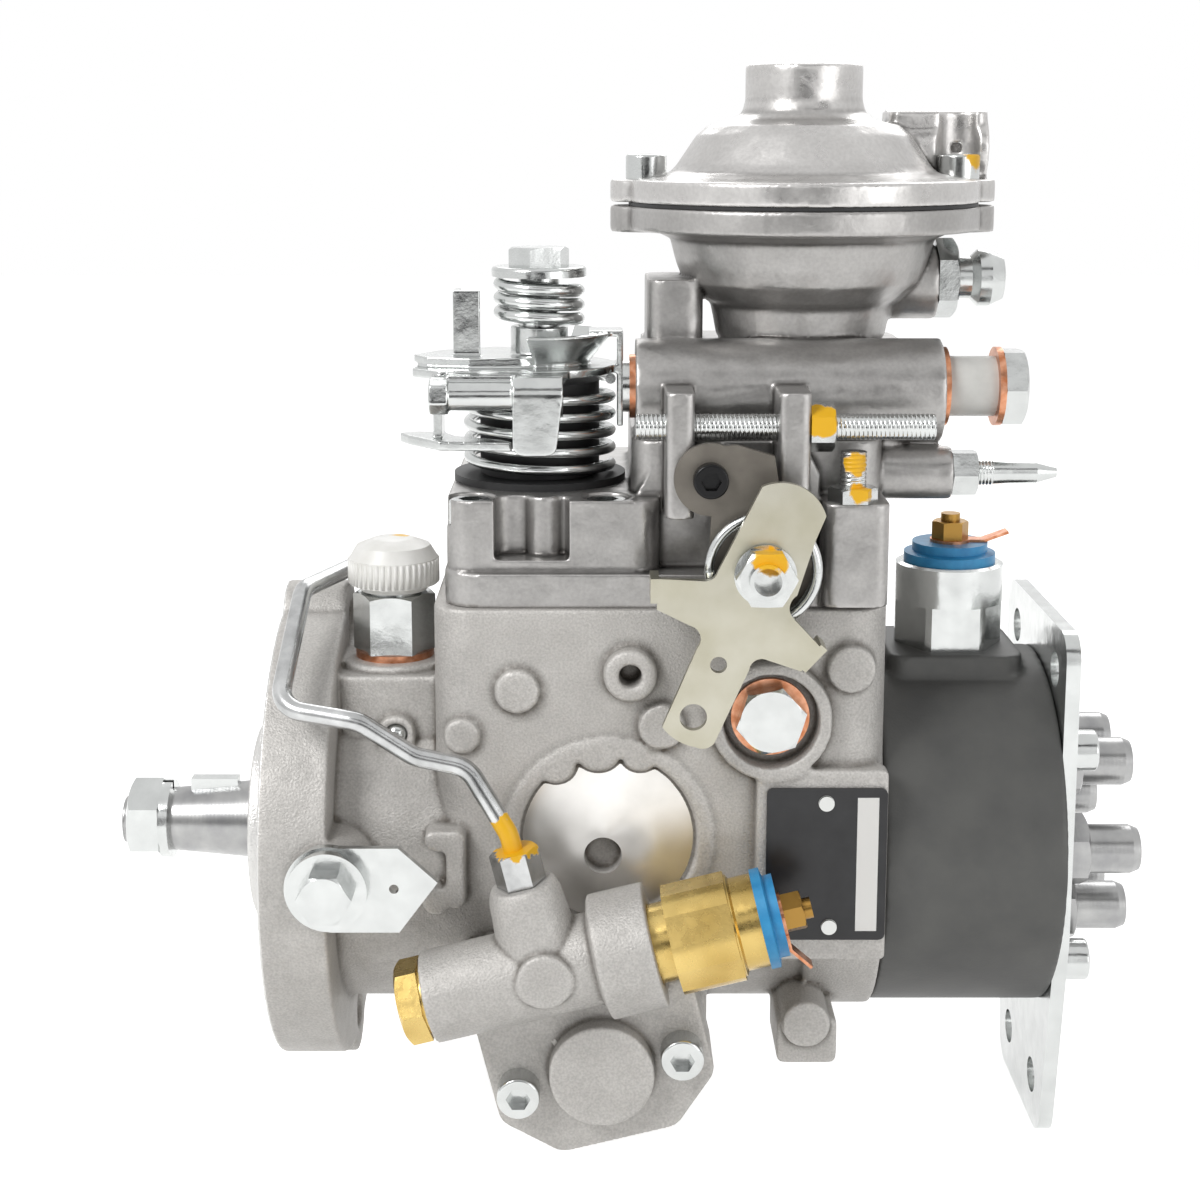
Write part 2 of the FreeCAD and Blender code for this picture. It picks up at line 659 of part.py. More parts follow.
def cam_plate():
    disc = cyl(CAM_R, (CAM_X + CAM_LIFT, 0, 0), X, CAM_END_X - CAM_X - CAM_LIFT)
    hump_r = 8.0
    parts = [disc]
    for angle in around(CAM_LOBES, 30):
        out = V(0, math.sin(rad(angle)), math.cos(rad(angle)))
        start = V(CAM_X + hump_r, 0, 0) + out * (ROLLER_PITCH_R - 5)
        parts.append(Part.makeCylinder(hump_r, 9.0, start, out))
    body = joined(parts)
    ring = tube(CAM_R, ROLLER_PITCH_R - 6.5, (CAM_X - 1, 0, 0), X, CAM_END_X - CAM_X + 1)
    core = cyl(ROLLER_PITCH_R - 6, (CAM_X + CAM_LIFT, 0, 0), X, CAM_END_X - CAM_X - CAM_LIFT)
    body = body.common(ring.fuse(core))
    dogs = []
    for side in (-1, 1):
        dogs.append(box(CLAW_END_X + 4.0, CAM_X + CAM_LIFT + 1, -4.9, 4.9, *sorted((side * 6, side * 13))))
    body = joined([body] + dogs)
    return body.cut(cyl(4.0, (CAM_X - 20, 0, 0), X, 30))


def plunger():
    foot = cyl(9.0, (CAM_END_X, 0, 0), X, 2.0)
    rod = cyl(PLUNGER_R, (CAM_END_X, 0, 0), X, PLUNGER_END_X - CAM_END_X)
    body = foot.fuse(rod).removeSplitter()
    body = body.cut(cyl(1.4, (SPOOL_X + 5, 0, 0), X, PLUNGER_END_X - SPOOL_X))
    body = body.cut(cyl(1.2, (SPOOL_X + 6.5, -8, 0), Y, 16))
    for angle in around(CAM_LOBES, 0):
        slot = box(PLUNGER_END_X - 6, PLUNGER_END_X + 1, -0.7, 0.7, PLUNGER_R - 1, PLUNGER_R + 1)
        slot.rotate(V(0, 0, 0), X, angle)
        body = body.cut(slot)
    return body


def plunger_springs():
    bridge_x = CAM_END_X + 2.3
    bridge = rounded_plate_x(bridge_x, 2.5, 26.0, 7.0)
    bridge = bridge.cut(cyl(PLUNGER_R + FREE, (bridge_x - 1, 0, 0), X, 5))
    springs = []
    for side in (-1, 1):
        start = (bridge_x + 2.5, side * 20.0, 0)
        length = SPIGOT_X - bridge_x - 2.5
        turns = 6.0
        spring = coil(4.6, 0.9, (length - 1.9) / turns, turns, (0, 0, 0))
        springs.append(place(spring, (start[0] + 0.95, start[1], 0), X))
        springs.append(cyl(3.0, start, X, length))
    return [bridge] + springs


def rounded_plate_x(x, t, half_y, half_z):
    return joined([box(x, x + t, -half_y + half_z, half_y - half_z, -half_z, half_z),
                   cyl(half_z, (x, half_y - half_z, 0), X, t), cyl(half_z, (x, half_z - half_y, 0), X, t)])


def control_spool():
    body = tube(SPOOL_R, PLUNGER_R + RUN, (SPOOL_X, 0, 0), X, SPOOL_END_X - SPOOL_X)
    middle = (SPOOL_X + SPOOL_END_X) / 2
    return body.cut(cyl(2.9, (middle, 0, SPOOL_R - 4.4), Z, 6))


# Head and outlets

def distributor_head():
    body = joined([cyl(CHAMBER_BACK_R, (SPIGOT_X, 0, 0), X, BODY_END_X - SPIGOT_X),
                   cyl(HEAD_R, (BODY_END_X, 0, 0), X, HEAD_END_X - BODY_END_X),
                   rounded_box(BODY_END_X + 4, HEAD_END_X - 6, -16, 16, 20, SOL_Z, 4)])
    tools = [cyl(11.0, (SPIGOT_X - 1, 0, 0), X, HEAD_END_X - SPIGOT_X + 2)]
    for angle in HEAD_SCREWS:
        tools.append(cyl(3.3, polar_x(HEAD_SCREW_R, angle, BODY_END_X - 1), X, HEAD_END_X - BODY_END_X + 2))
    for angle in around(OUTLETS, 30):
        tools.append(cyl(HOLDER_R, polar_x(OUTLET_PCD_R, angle, HEAD_END_X - 14), X, 20))
    tools.append(cyl(8.0, (SOL_X, 0, SOL_Z - 8), Z, 12))
    tools.append(cyl(3.0, (SOL_X, 0, SOL_Z - 14), Z, 8))
    body = less(body, tools)
    barrel = tube(11.0, PLUNGER_R + RUN, (SPIGOT_X - 6, 0, 0), X, HEAD_END_X - SPIGOT_X - 10)
    return [body, barrel]


def delivery_valves():
    parts = []
    for angle in around(OUTLETS, 30):
        p = polar_x(OUTLET_PCD_R, angle, HEAD_END_X)
        holder = hex_chamfered(HOLDER_AF, p, X, 9.0)
        thread = revolved([(0, -12), (HOLDER_R, -12), (HOLDER_R, 5), (6, 5), (6, 20), (5.2, 22),
                           (2.6, 22), (1.2, 19), (0, 19)], p, X)
        parts.append(holder.fuse(thread).removeSplitter())
    return parts


def sealing_plugs():
    head_plug = hex_chamfered(17.0, (HEAD_END_X, 0, 0), X, 6.0)
    head_plug = head_plug.fuse(cyl(11.0, (HEAD_END_X - 14, 0, 0), X, 14))
    side = hex_chamfered(14.5, (PLUG_X, PLUG_FLOOR_Y - 1.4, PLUG_Z), Y * -1, 4.6, 12)
    side = side.fuse(cyl(7.0, (PLUG_X, PLUG_FLOOR_Y - 1.4, PLUG_Z), Y, 3.8))
    tower = cyl(6.2, (TOWER_X - 2.0, RETURN_Y, RETURN_Z), X, 1.6)
    tower = tower.fuse(cyl(4.0, (TOWER_X - 1, RETURN_Y, RETURN_Z), X, 9))
    ball = Part.makeSphere(BALL_R - RUN, V(*BALL_AT))
    return [head_plug.removeSplitter(), side.removeSplitter(), tower.removeSplitter(), ball]


def rear_bracket():
    x = HEAD_END_X
    half = BRACKET_HALF_W
    pts = [V(x, -half, 57), V(x, half, 57), V(x, half, -20), V(x, half - 10, BRACKET_LOW_Z),
           V(x, -half + 10, BRACKET_LOW_Z), V(x, -half, -20)]
    body = Part.Face(Part.makePolygon(pts + pts[:1])).extrude(V(BRACKET_T, 0, 0))
    edges = [e for e in body.Edges if abs(e.tangentAt(e.FirstParameter).x) > 0.99]
    body = body.makeFillet(7, edges)
    tools = [cyl(OUTLET_PCD_R + 9.0, (x - 1, 0, 0), X, BRACKET_T + 2)]
    for angle in HEAD_SCREWS:
        tools.append(cyl(3.3, polar_x(HEAD_SCREW_R, angle, x - 1), X, BRACKET_T + 2))
    for side in (-1, 1):
        tools.append(cyl(4.4, (x - 1, side * 14.0, BRACKET_LOW_Z + 12), X, BRACKET_T + 2))
        tools.append(cyl(4.4, (x - 1, side * 22.0, 46), X, BRACKET_T + 2))
    return less(body, tools)


# Governor

def governor_pins():
    shaft = cyl(GOV_PIN_R, (GOV_SHAFT_X, 0, GOV_Z), X, SLEEVE_END_X - 15 - GOV_SHAFT_X)
    parts = [shaft]
    inner_y = SIDE_Y - WALL
    for side in (-1, 1):
        start = (LEVER_PIVOT_X, side * 1.0, LEVER_PIVOT_Z)
        parts.append(cyl(3.0, start, Y * side, inner_y - 1.0 + 5))
    return parts


def weight_carrier():
    wheel = gear(GOV_TEETH, GEAR_W, GEAR_X, GOV_Z, 180.0 + 180.0 / GOV_TEETH)
    parts = [wheel, cyl(12.0, (GEAR_X + GEAR_W - 0.5, 0, GOV_Z), X, 3.0)]
    parts.append(cyl(CAGE_R, (CAGE_X, 0, GOV_Z), X, 1.5))
    for angle in around(WEIGHTS, 45):
        web = box(CAGE_X, CAGE_END_X, -2, 2, 10, CAGE_R)
        web.rotate(V(0, 0, 0), X, -angle)
        web.translate(V(0, 0, GOV_Z))
        parts.append(web)
    body = joined(parts)
    return body.cut(cyl(GOV_PIN_R + RUN, (GEAR_X - 1, 0, GOV_Z), X, 40))


def flyweight(angle):
    px, pr = WEIGHT_PIVOT_X, WEIGHT_PIVOT_R
    pts = [(px - 1.2, TOE_R), (px + 1.2, TOE_R), (px + 1.2, 11.0), (px + WEIGHT_LEN, 11.0),
           (px + WEIGHT_LEN, 16.5), (px + WEIGHT_LEN - 3, 18.5), (px - 1.2, 18.5)]
    body = plate([(x, r) for x, r in pts], -5.5, 11.0)
    toe_trim = joined([box(px - 3, px + 3, -3, 3, 0, 11), box(px - 3, px + 20, -6, 6, 11, 30)])
    body = body.common(toe_trim).fuse(cyl(1.9, (px, -5.5, pr), Y, 11.0)).removeSplitter()
    body.rotate(V(0, 0, 0), X, -angle)
    body.translate(V(0, 0, GOV_Z))
    return body


def governor_sleeve():
    body = joined([cyl(9.0, (SLEEVE_X, 0, GOV_Z), X, 2.0),
                   cyl(6.5, (SLEEVE_X, 0, GOV_Z), X, SLEEVE_END_X - 3 - SLEEVE_X),
                   Part.makeSphere(4.0, V(SLEEVE_END_X - 4.0, 0, GOV_Z))])
    return body.cut(cyl(GOV_PIN_R + RUN, (SLEEVE_X - 1, 0, GOV_Z), X, SLEEVE_END_X - 5.0 - SLEEVE_X))


def governor_lever():
    px, pz = LEVER_PIVOT_X, LEVER_PIVOT_Z
    face_x = SLEEVE_END_X + LEVER_GAP
    tip_x = (SPOOL_X + SPOOL_END_X) / 2
    tip_z = SPOOL_R - 1.0
    hub_r = 4.6
    upright = box(face_x, face_x + 2.6, -6, 6, pz + 1, TOP_Z)
    foot = plate([(face_x, pz + 1), (face_x + 2.6, pz + 6), (px, pz + hub_r), (px, pz - hub_r)], -5, 10)
    lower = plate([(px - 2.4, pz - 3), (px + 3, pz - 2), (tip_x + 1.8, tip_z + 8), (tip_x + 1.6, tip_z + 4),
                   (tip_x - 1.6, tip_z + 4)], -2, 4)
    ball = Part.makeSphere(2.6, V(tip_x, 0, tip_z))
    stem = cyl(1.6, (tip_x, 0, tip_z), Z, 5)
    hub = cyl(hub_r, (px, -5.6, pz), Y, 11.2)
    body = joined([upright, foot, lower, ball, stem, hub])
    tools = [cyl(3.0 + RUN, (px, -6, pz), Y, 12), cyl(1.6, (face_x - 1, SPRING_Y, SPRING_Z), X, 6)]
    return less(body, tools)


def governor_spring():
    """Idle and main spring between the lever's hook and the throttle crank."""
    x0 = THROTTLE_X + CRANK_X + CRANK_R + 0.2
    x1 = SLEEVE_END_X + 0.2
    turns = 8.0
    spring = coil(3.4, 0.7, (x1 - x0 - 1.6) / turns, turns, (0, 0, 0))
    return place(spring, (x0 + 0.8, SPRING_Y, SPRING_Z), X)


# Timing device

def timing_piston():
    body = cyl(TIMING_R, (TIMING_X, -PISTON_HALF, TIMING_Z), Y, 2 * PISTON_HALF)
    groove = tube(TIMING_R + 1, TIMING_R - 1.2, (TIMING_X, PISTON_HALF - 6, TIMING_Z), Y, 2)
    slot = box(TIMING_X - TIMING_PIN_R - 0.5, TIMING_X + TIMING_PIN_R + 0.5,
               -TIMING_PIN_R, TIMING_PIN_R, TIMING_Z - 3.5, TIMING_Z + TIMING_R + 1)
    bore = cyl(8.0, (TIMING_X, PISTON_HALF - 12, TIMING_Z), Y, 13)
    return less(body, [groove, slot, bore])


def timing_spring():
    start = PISTON_HALF - 12 + 0.3
    length = TIMING_HALF - start - 0.3
    turns = 6.0
    spring = coil(5.8, 1.1, (length - 2.4) / turns, turns, (0, 0, 0))
    return place(spring, (TIMING_X, start + 1.2, TIMING_Z), Y)


def timing_cover():
    body = timing_pad(TIMING_HALF, TIMING_COVER_T)
    body = body.fuse(cyl(12.3, (TIMING_X, TIMING_HALF + TIMING_COVER_T - 1, TIMING_Z), Y, 5))
    tools = []
    for dx, dz in TIMING_SCREWS:
        tools.append(cyl(3.3, timing_point(dx, dz, TIMING_HALF - 1), Y, 12))
    return less(body, tools)


# Cold start valve

def cold_start_body():
    main = revolved([(0, 4), (10.5, 4), (10.5, COLD_STEP), (14.3, COLD_STEP + 1), (14.3, COLD_LEN), (0, COLD_LEN)],
                    cold_point(0, 0, 0), COLD_AXIS)
    port_at = cold_point(31.5, 0, 6)
    port = revolved([(0, 0), (9.5, 0), (8.4, 13), (7.4, 15.6), (0, 15.6)], port_at, COLD_UP)
    disc = cyl(6.3, cold_point(32.0, -11.2, 1.5), Y, 8)
    pad = timing_pad(-TIMING_HALF - TIMING_COVER_T, TIMING_COVER_T)
    neck_end = COLD_LEN - 1.5
    neck = plate([(p[0], p[2]) for p in (cold_point(6, 0, -8), cold_point(neck_end, 0, -8), cold_point(neck_end, 0, 8),
                                         cold_point(6, 0, 8))], COLD_Y, COLD_OUT - 3)
    boss = cyl(12.3, (TIMING_X, -TIMING_HALF - 12, TIMING_Z + 1.7), Y, 8)
    body = joined([pad, neck, main, port, disc, boss])
    tools = [cyl(6.0, cold_point(3, 0, 0), COLD_AXIS, COLD_STEP - 3)]
    tools.append(cyl(9.0, cold_point(COLD_STEP - 1.5, 0, 0), COLD_AXIS, COLD_LEN - COLD_STEP + 3))
    tools.append(cyl(3.6, cold_point(31.5, 0, 8), COLD_UP, 16))
    tools.append(cyl(13.0, cold_point(COLD_LEN, 0, 0), COLD_AXIS, 30))
    for dx, dz in LOW_SCREWS:
        p = timing_point(dx, dz, -TIMING_HALF + 1)
        tools.append(cyl(3.3, p, Y * -1, 9))
        tools.append(cyl(5.6, timing_point(dx, dz, -TIMING_HALF - TIMING_COVER_T), Y * -1, 12))
    return less(body, tools)


def cold_start_fittings():
    plug = hex_chamfered(17.0, cold_point(3.2, 0, 0), COLD_AXIS * -1, 5.4, 30)
    plug = plug.fuse(cyl(6.0, cold_point(3.0, 0, 0), COLD_AXIS, 9))
    plug = plug.fuse(cyl(8.0, cold_point(3.1, 0, 0), COLD_AXIS, 0.9))
    x = COLD_LEN
    profile = [(0, x - 3), (9.0, x - 3), (9.0, x + 4), (12.5, x + 4), (12.5, x + 18.5), (10.6, x + 19.5),
               (10.6, COLD_CAP_END), (0, COLD_CAP_END)]
    coil_case = revolved(profile, cold_point(0, 0, 0), COLD_AXIS)
    trim = joined([hexagon(24.0, cold_point(x + 3, 0, 0), COLD_AXIS, 15.6, 30),
                   cyl(12.5, cold_point(x - 4, 0, 0), COLD_AXIS, 7.5),
                   cyl(11.6, cold_point(x + 18, 0, 0), COLD_AXIS, 8)])
    coil_case = coil_case.common(trim)
    coil_case = coil_case.cut(cyl(3.0, cold_point(x - 4, 0, 0), COLD_AXIS, 16))
    return [plug.removeSplitter(), coil_case]


def cold_start_needle():
    x = COLD_LEN
    return revolved([(0, x - 22), (1.5, x - 20), (3.0 - RUN, x - 14), (3.0 - RUN, x + 8), (0, x + 8)],
                    cold_point(0, 0, 0), COLD_AXIS)


def fuel_pipe():
    top = cold_point(31.5, 0, 6 + 15.6)
    above = cold_point(31.5, 0, 6 + 15.6 + 12)
    points = [(22.0, 18.0, SHELF_Z), (22.0, 18.0, 66.4), (8.0, -27.0, 67.0), (5.6, -54.0, 45.6),
              (24.5, -57.5, 43.4), (36.9, -57.5, 35.2), (49.0, -58.5, 33.0), above, top]
    return pipe(points, PIPE_R, PIPE_BEND_R)


def pipe_nuts():
    nut = hex_chamfered(10.0, cold_point(31.5, 0, 6 + 15.6 + 0.2), COLD_UP, 8.0)
    nut = nut.cut(cyl(PIPE_R, cold_point(31.5, 0, 6 + 10), COLD_UP, 24))
    rear = hex_chamfered(10.0, (22.0, 18.0, SHELF_Z), Z, 9.0, 30)
    rear = rear.cut(cyl(PIPE_R, (22.0, 18.0, SHELF_Z - 1), Z, 12))
    return [nut, rear]


def lock_bolt():
    keeper = keeper_plate()
    y = LOCKB_Y - 2.0
    bolt = joined([cyl(9.2, (LOCKB_X, y - 3.4, LOCKB_Z), Y, 3.4), cyl(4.0, (LOCKB_X, y - 3, LOCKB_Z), Y, 16),
                   hex_chamfered(11.0, (LOCKB_X, y - 3, LOCKB_Z), Y * -1, 6.0)])
    return [bolt, keeper]


def keeper_plate():
    pts = [(9.0, 14.3), (33.1, 14.3), (42.0, 6.1), (33.1, -5.9), (9.0, -5.9)]
    y = LOCKB_Y - 2.0
    body = plate(pts, y, 2.0)
    left = cyl(10.2, (LOCKB_X, y, 4.4), Y, 2.0)
    body = body.common(box(LOCKB_X, 60, y - 10, 0, -30, 30).fuse(left))
    body = body.fuse(left).removeSplitter()
    return less(body, [cyl(4.0, (LOCKB_X, y - 2, LOCKB_Z), Y, 6), cyl(1.1, (32.0, y - 2, 4.6), Y, 6)])


# Governor cover

def cover_outer():
    z0 = TOP_Z
    y = COVER_Y
    mid = COVER_MID_Y
    parts = [rounded_box(COVER_X, COVER_END_X, -y, y, z0, z0 + COVER_FLANGE_T, 8)]
    parts.append(rounded_box(COVER_X + 0.6, COVER_BLOCK_END_X, -y + 1.5, y - 2, z0 + 1, COVER_BLOCK_Z, 6))
    parts.append(rounded_box(TOWER_X, COVER_END_X - 1, -mid, mid, z0 + 1, 104, 6))
    far_screw = COVER_SCREWS[2]
    parts.append(cyl(7.4, (far_screw[0], far_screw[1], z0), Z, COVER_SEAT_Z - z0))
    parts.append(rounded_box(130.5, 145.6, -y - 4, -20, z0 + 1, COVER_BLOCK_Z + 0.4, 3))
    parts.append(rounded_box(TOWER_X + 3, 154, -26, 26, 98, 124, 8))
    parts.append(cyl(12.4, (TOWER_X + 1, RETURN_Y, RETURN_Z - 1), X, RETURN_X - TOWER_X - 1))
    parts.append(cyl(6.3, (140, LOAD_Y, LOAD_Z), X, 22.5))
    parts.append(rounded_box(90.3, 104, -14, 14, 118, 140, 4))
    parts.append(cyl(9.0, (150, 0, BARB_Z - 1), X, 11.5))
    for x0, x1 in ((94.0, 100.6), (119.6, 127.0)):
        parts.append(rounded_box(x0, x1, -47.5, -20, 88, COVER_LUG_Z, 1.8))
    parts.append(plate([(TOWER_X - 0.5, COVER_BLOCK_Z - 2), (95, COVER_BLOCK_Z - 2), (95, 103.5)], -34, 6))
    parts.append(plate([(127, COVER_BLOCK_Z - 2), (130, COVER_BLOCK_Z - 2), (130, 97), (127, 103)], -38, 8))
    parts.append(cyl(9.5, (STOP_X, STOP_BOSS_Y, STOP_Z), Y, 16))
    parts.append(cyl(6.5, (LOCK_X, STOP_BOSS_Y, LOCK_Z), Y, 16))
    parts.append(bowl())
    return parts


def bowl():
    """Lower half of the boost chamber; heights count from the seam."""
    rim = -DIAPHRAGM_T / 2
    profile = [(0, -41.8), (12, -40.8), (17.5, -37.3), (20.8, -31.8), (22.3, -24.3), (24.5, -22.8),
               (29, -18.8), (30.6, -14.8), (31.2, -12.8), (32.3, -8.5), (36, -6.8), (BOOST_R, -6.2),
               (BOOST_R, rim), (0, rim)]
    shape = revolved(profile, (BOOST_X, 0, BOOST_SEAM_Z), Z)
    ear_h = 6.8
    for at in boost_screw_points():
        shape = shape.fuse(cyl(8.8, (at[0], at[1], BOOST_SEAM_Z - ear_h), Z, ear_h + rim))
    return shape


def boost_screw_points():
    r = BOOST_SCREW_R
    return [(BOOST_X + r * math.cos(rad(a)), r * math.sin(rad(a))) for a in (0, 90, 180)]


def cover_cavities():
    z0 = TOP_Z - 1
    tools = [rounded_box(COVER_X + 7, COVER_BLOCK_END_X - 2, -30, 30, z0, COVER_BLOCK_Z - 7, 5)]
    tools.append(rounded_box(COVER_BLOCK_END_X - 6, GOV_CHAMBER_END_X, -27, 27, z0, 84, 5))
    tools.append(rounded_box(TOWER_X + 6, GOV_CHAMBER_END_X, -27, 27, z0, 97, 5))
    tools.append(cover_pocket())
    tools.append(revolved([(0, -29.8), (15, -29.8), (18, -20.8), (25, -16.8), (27, -7.8), (33, -5.3),
                           (33, 2.2), (0, 2.2)], (BOOST_X, 0, BOOST_SEAM_Z), Z))
    tools.append(cyl(4.0 + RUN, (BOOST_X, 0, FEELER_Z - 14), Z, 40))
    tools.append(cyl(3.0 + RUN, (88, 0, FEELER_Z), X, 46))
    tools.append(cyl(THROTTLE_R + RUN, (THROTTLE_X, THROTTLE_Y, z0), Z, 40))
    tools.append(cyl(STOP_R + RUN, (STOP_X, -50, STOP_Z), Y, 30))
    tools.append(cyl(2.5, (LOCK_X, STOP_BOSS_Y - 1, LOCK_Z), Y, 9.2))
    tools.append(cyl(ROD_R, (ROD_X - 2, ROD_Y, ROD_Z), X, 60))
    tools.append(cyl(2.9, (STUD_X, ROD_Y, 78), Z, 20))
    tools.append(cyl(2.9, (150, LOAD_Y, LOAD_Z), X, 20))
    tools.append(cyl(5.0, (RETURN_X - 14, RETURN_Y, RETURN_Z), X, 16))
    tools.append(cyl(4.0, (TOWER_X, RETURN_Y, RETURN_Z), X, 10))
    tools.append(cyl(4.0, (155, 0, BARB_Z), X, 10))
    for at in boost_screw_points():
        tools.append(cyl(3.0, (at[0], at[1], BOOST_SEAM_Z - 7.8), Z, 10))
    for x, y in COVER_SCREWS:
        tools.append(cyl(3.2, (x, y, z0), Z, 40))
        tools.append(cyl(5.6, (x, y, COVER_SEAT_Z), Z, 55))
    return tools


def cover_pocket():
    """Pocket in the block's near face, open at the top, with a rounded column in its back."""
    pocket = rounded_box(54.5, 72.0, -COVER_Y - 8, -32.6, 77.0, COVER_BLOCK_Z + 1, 4.0)
    column = cyl(4.6, (66.0, -31.0, 70), Z, 30)
    return pocket.cut(column)


def governor_cover():
    body = joined(cover_outer())
    return less(body, cover_cavities())


def boost_cap():
    """Upper half of the boost chamber with its neck and port; profile heights count from the seam."""
    rim = DIAPHRAGM_T / 2
    ear = BOOST_EAR_Z - BOOST_SEAM_Z
    port_z = BOOST_SEAM_Z + 13.2
    outer = [(0, rim), (BOOST_R, rim), (BOOST_R, ear), (37, 6.4), (32.5, 7.5), (31.0, 9.0), (26.0, 16.4),
             (23.0, 18.8), (17.5, 20.0), (15.0, 21.8), (BOOST_NECK_R, 24.7), (BOOST_NECK_R, BOOST_CAP_H),
             (0, BOOST_CAP_H)]
    parts = [revolved(outer, (BOOST_X, 0, BOOST_SEAM_Z), Z)]
    for at in boost_screw_points():
        parts.append(cyl(8.8, (at[0], at[1], BOOST_SEAM_Z + rim), Z, ear - rim))
    parts.append(rounded_box(150, 174.5, 3, 19, port_z - 10.5, port_z + 9, 3))
    parts.append(cyl(9.5, (150, 11, port_z), X, 24.5))
    body = joined(parts)
    inner = revolved([(0, -7.8), (33, -7.8), (33, 2.7), (27.5, 4.2), (23, 13.2), (19, 15.7), (11.2, 18.2),
                      (11.2, 28.2), (0, 28.2)], (BOOST_X, 0, BOOST_SEAM_Z), Z)
    tools = [inner, cyl(5.0, (162.5, 11, port_z), X, 14), cyl(3.0, (140, 11, port_z), X, 24)]
    tools.append(cyl(3.2, (BOOST_X, 0, port_z + 9), Z, 20))
    for at in boost_screw_points():
        tools.append(cyl(3.2, (at[0], at[1], BOOST_SEAM_Z - 7.8), Z, 40))
        tools.append(cyl(5.6, (at[0], at[1], BOOST_EAR_Z), Z, 30))
    return less(body, tools)


def boost_diaphragm():
    z = BOOST_SEAM_Z
    rubber = tube(BOOST_R - 0.5, 7.0, (BOOST_X, 0, z - DIAPHRAGM_T / 2), Z, DIAPHRAGM_T)
    for at in boost_screw_points():
        rubber = rubber.cut(cyl(3.4, (at[0], at[1], z - 2), Z, 4))
    return rubber


def boost_piston():
    z = BOOST_SEAM_Z
    pin = revolved([(0, -54.8), (2.6, -54.8), (2.6, -45.8), (4.0, -38.8), (4.0, -17.8), (4.0, 5), (0, 5)],
                   (BOOST_X, 0, z), Z)
    plates = cyl(24.0, (BOOST_X, 0, z - DIAPHRAGM_T / 2 - 2.0), Z, 2.0)
    plates = plates.fuse(cyl(7.0, (BOOST_X, 0, z - DIAPHRAGM_T / 2 - 1), Z, DIAPHRAGM_T + 2))
    plates = plates.fuse(cyl(20.0, (BOOST_X, 0, z + DIAPHRAGM_T / 2), Z, 1.5))
    return pin.fuse(plates).removeSplitter()


# Build

def copper_washers():
    rings = [tube(9.6, 6.2, (INLET_X, INLET_Y, INLET_Z), Z, 1.6)]
    rings.append(tube(9.4, 5.1, (RETURN_X, RETURN_Y, RETURN_Z), X, 1.5))
    rings.append(tube(7.6, 4.0, (TOWER_X - 0.4, RETURN_Y, RETURN_Z), X, 1.4))
    rings.append(tube(9.4, 5.1, (RETURN_X + 13.0, RETURN_Y, RETURN_Z), X, 1.5))
    rings.append(tube(9.2, 7.05, (PLUG_X, PLUG_FLOOR_Y - 1.4, PLUG_Z), Y, 1.4))
    return rings + [terminal_tab((SOL_X, 0, SOL_Z + SOL_H), Z, 25.0, 20.0),
                    terminal_tab(cold_point(COLD_CAP_END, 0, 0), COLD_AXIS, 118.0, 35.0)]


def terminal_tab(at, along, turn, bend):
    """Flat ring with a bent tongue, clamped under a terminal's nut."""
    z = TERMINAL_SEAL_H
    ring = tube(5.0, 2.5, (0, 0, z), Z, TAB_T)
    tongue = box(3.6, 8.6, -2.0, 2.0, z, z + TAB_T)
    end = box(0, 6.5, -2.0, 2.0, 0, TAB_T)
    end.rotate(V(0, 0, 0), Y, -bend)
    end.translate(V(8.4, 0, z))
    body = joined([ring, tongue, end])
    body.rotate(V(0, 0, 0), Z, turn)
    return place(body, at, along)


def return_bolt():
    x = RETURN_X + 14.5
    body = hex_chamfered(17.0, (x, RETURN_Y, RETURN_Z), X, 5.4, 30)
    body = body.fuse(cyl(5.0 - RUN, (RETURN_X - 10, RETURN_Y, RETURN_Z), X, 24.6))
    return body.removeSplitter()


def return_sleeve():
    return tube(7.2, 5.2, (RETURN_X + 1.5, RETURN_Y, RETURN_Z), X, 11.5)


def hose_barb():
    x = 161.5
    body = hex_chamfered(17.0, (x, 0, BARB_Z), X, 5.0)
    tail = revolved([(0, -6), (4, -6), (4, 0), (5.2, 4), (5.2, 8.6), (7.0, 10.4), (7.0, 13.2),
                     (5.4, 16.6), (0, 16.6)], (x, 0, BARB_Z), X)
    body = body.fuse(tail)
    return body.cut(cyl(2.2, (x - 7, 0, BARB_Z), X, 30)).removeSplitter()


def inlet_union():
    z = INLET_Z + 1.6
    body = hex_chamfered(17.5, (INLET_X, INLET_Y, z), Z, 14.4, 0)
    body = body.fuse(cyl(6.0, (INLET_X, INLET_Y, INLET_Z - 11), Z, 16))
    body = body.fuse(cyl(6.6, (INLET_X, INLET_Y, z + 13), Z, 10))
    return body.cut(cyl(3.6, (INLET_X, INLET_Y, INLET_Z - 12), Z, 48)).removeSplitter()


def inlet_cap():
    z = INLET_Z + 1.6 + 14.4
    profile = [(6.7, 0.6), (8.2, 0.6), (8.6, 2.2), (10.8, 2.2), (10.8, 8.6), (9.0, 11.6), (5.0, 13.2),
               (0, 13.6), (0, 9.5), (6.7, 9.5)]
    return revolved(profile, (INLET_X, INLET_Y, z), Z)


def stop_solenoid():
    profile = [(0, -7), (8, -7), (8, 0), (13.4, 0), (13.4, SOL_H - 0.5), (12.4, SOL_H), (0, SOL_H)]
    body = revolved(profile, (SOL_X, 0, SOL_Z), Z)
    trim = joined([cyl(8.0, (SOL_X, 0, SOL_Z - 8), Z, 9), hexagon(24.0, (SOL_X, 0, SOL_Z), Z, 11.0, 0),
                   cyl(13.4, (SOL_X, 0, SOL_Z + 11.0), Z, 12)])
    body = body.common(trim)
    return body.cut(cyl(4.0, (SOL_X, 0, SOL_Z - 8), Z, 22))


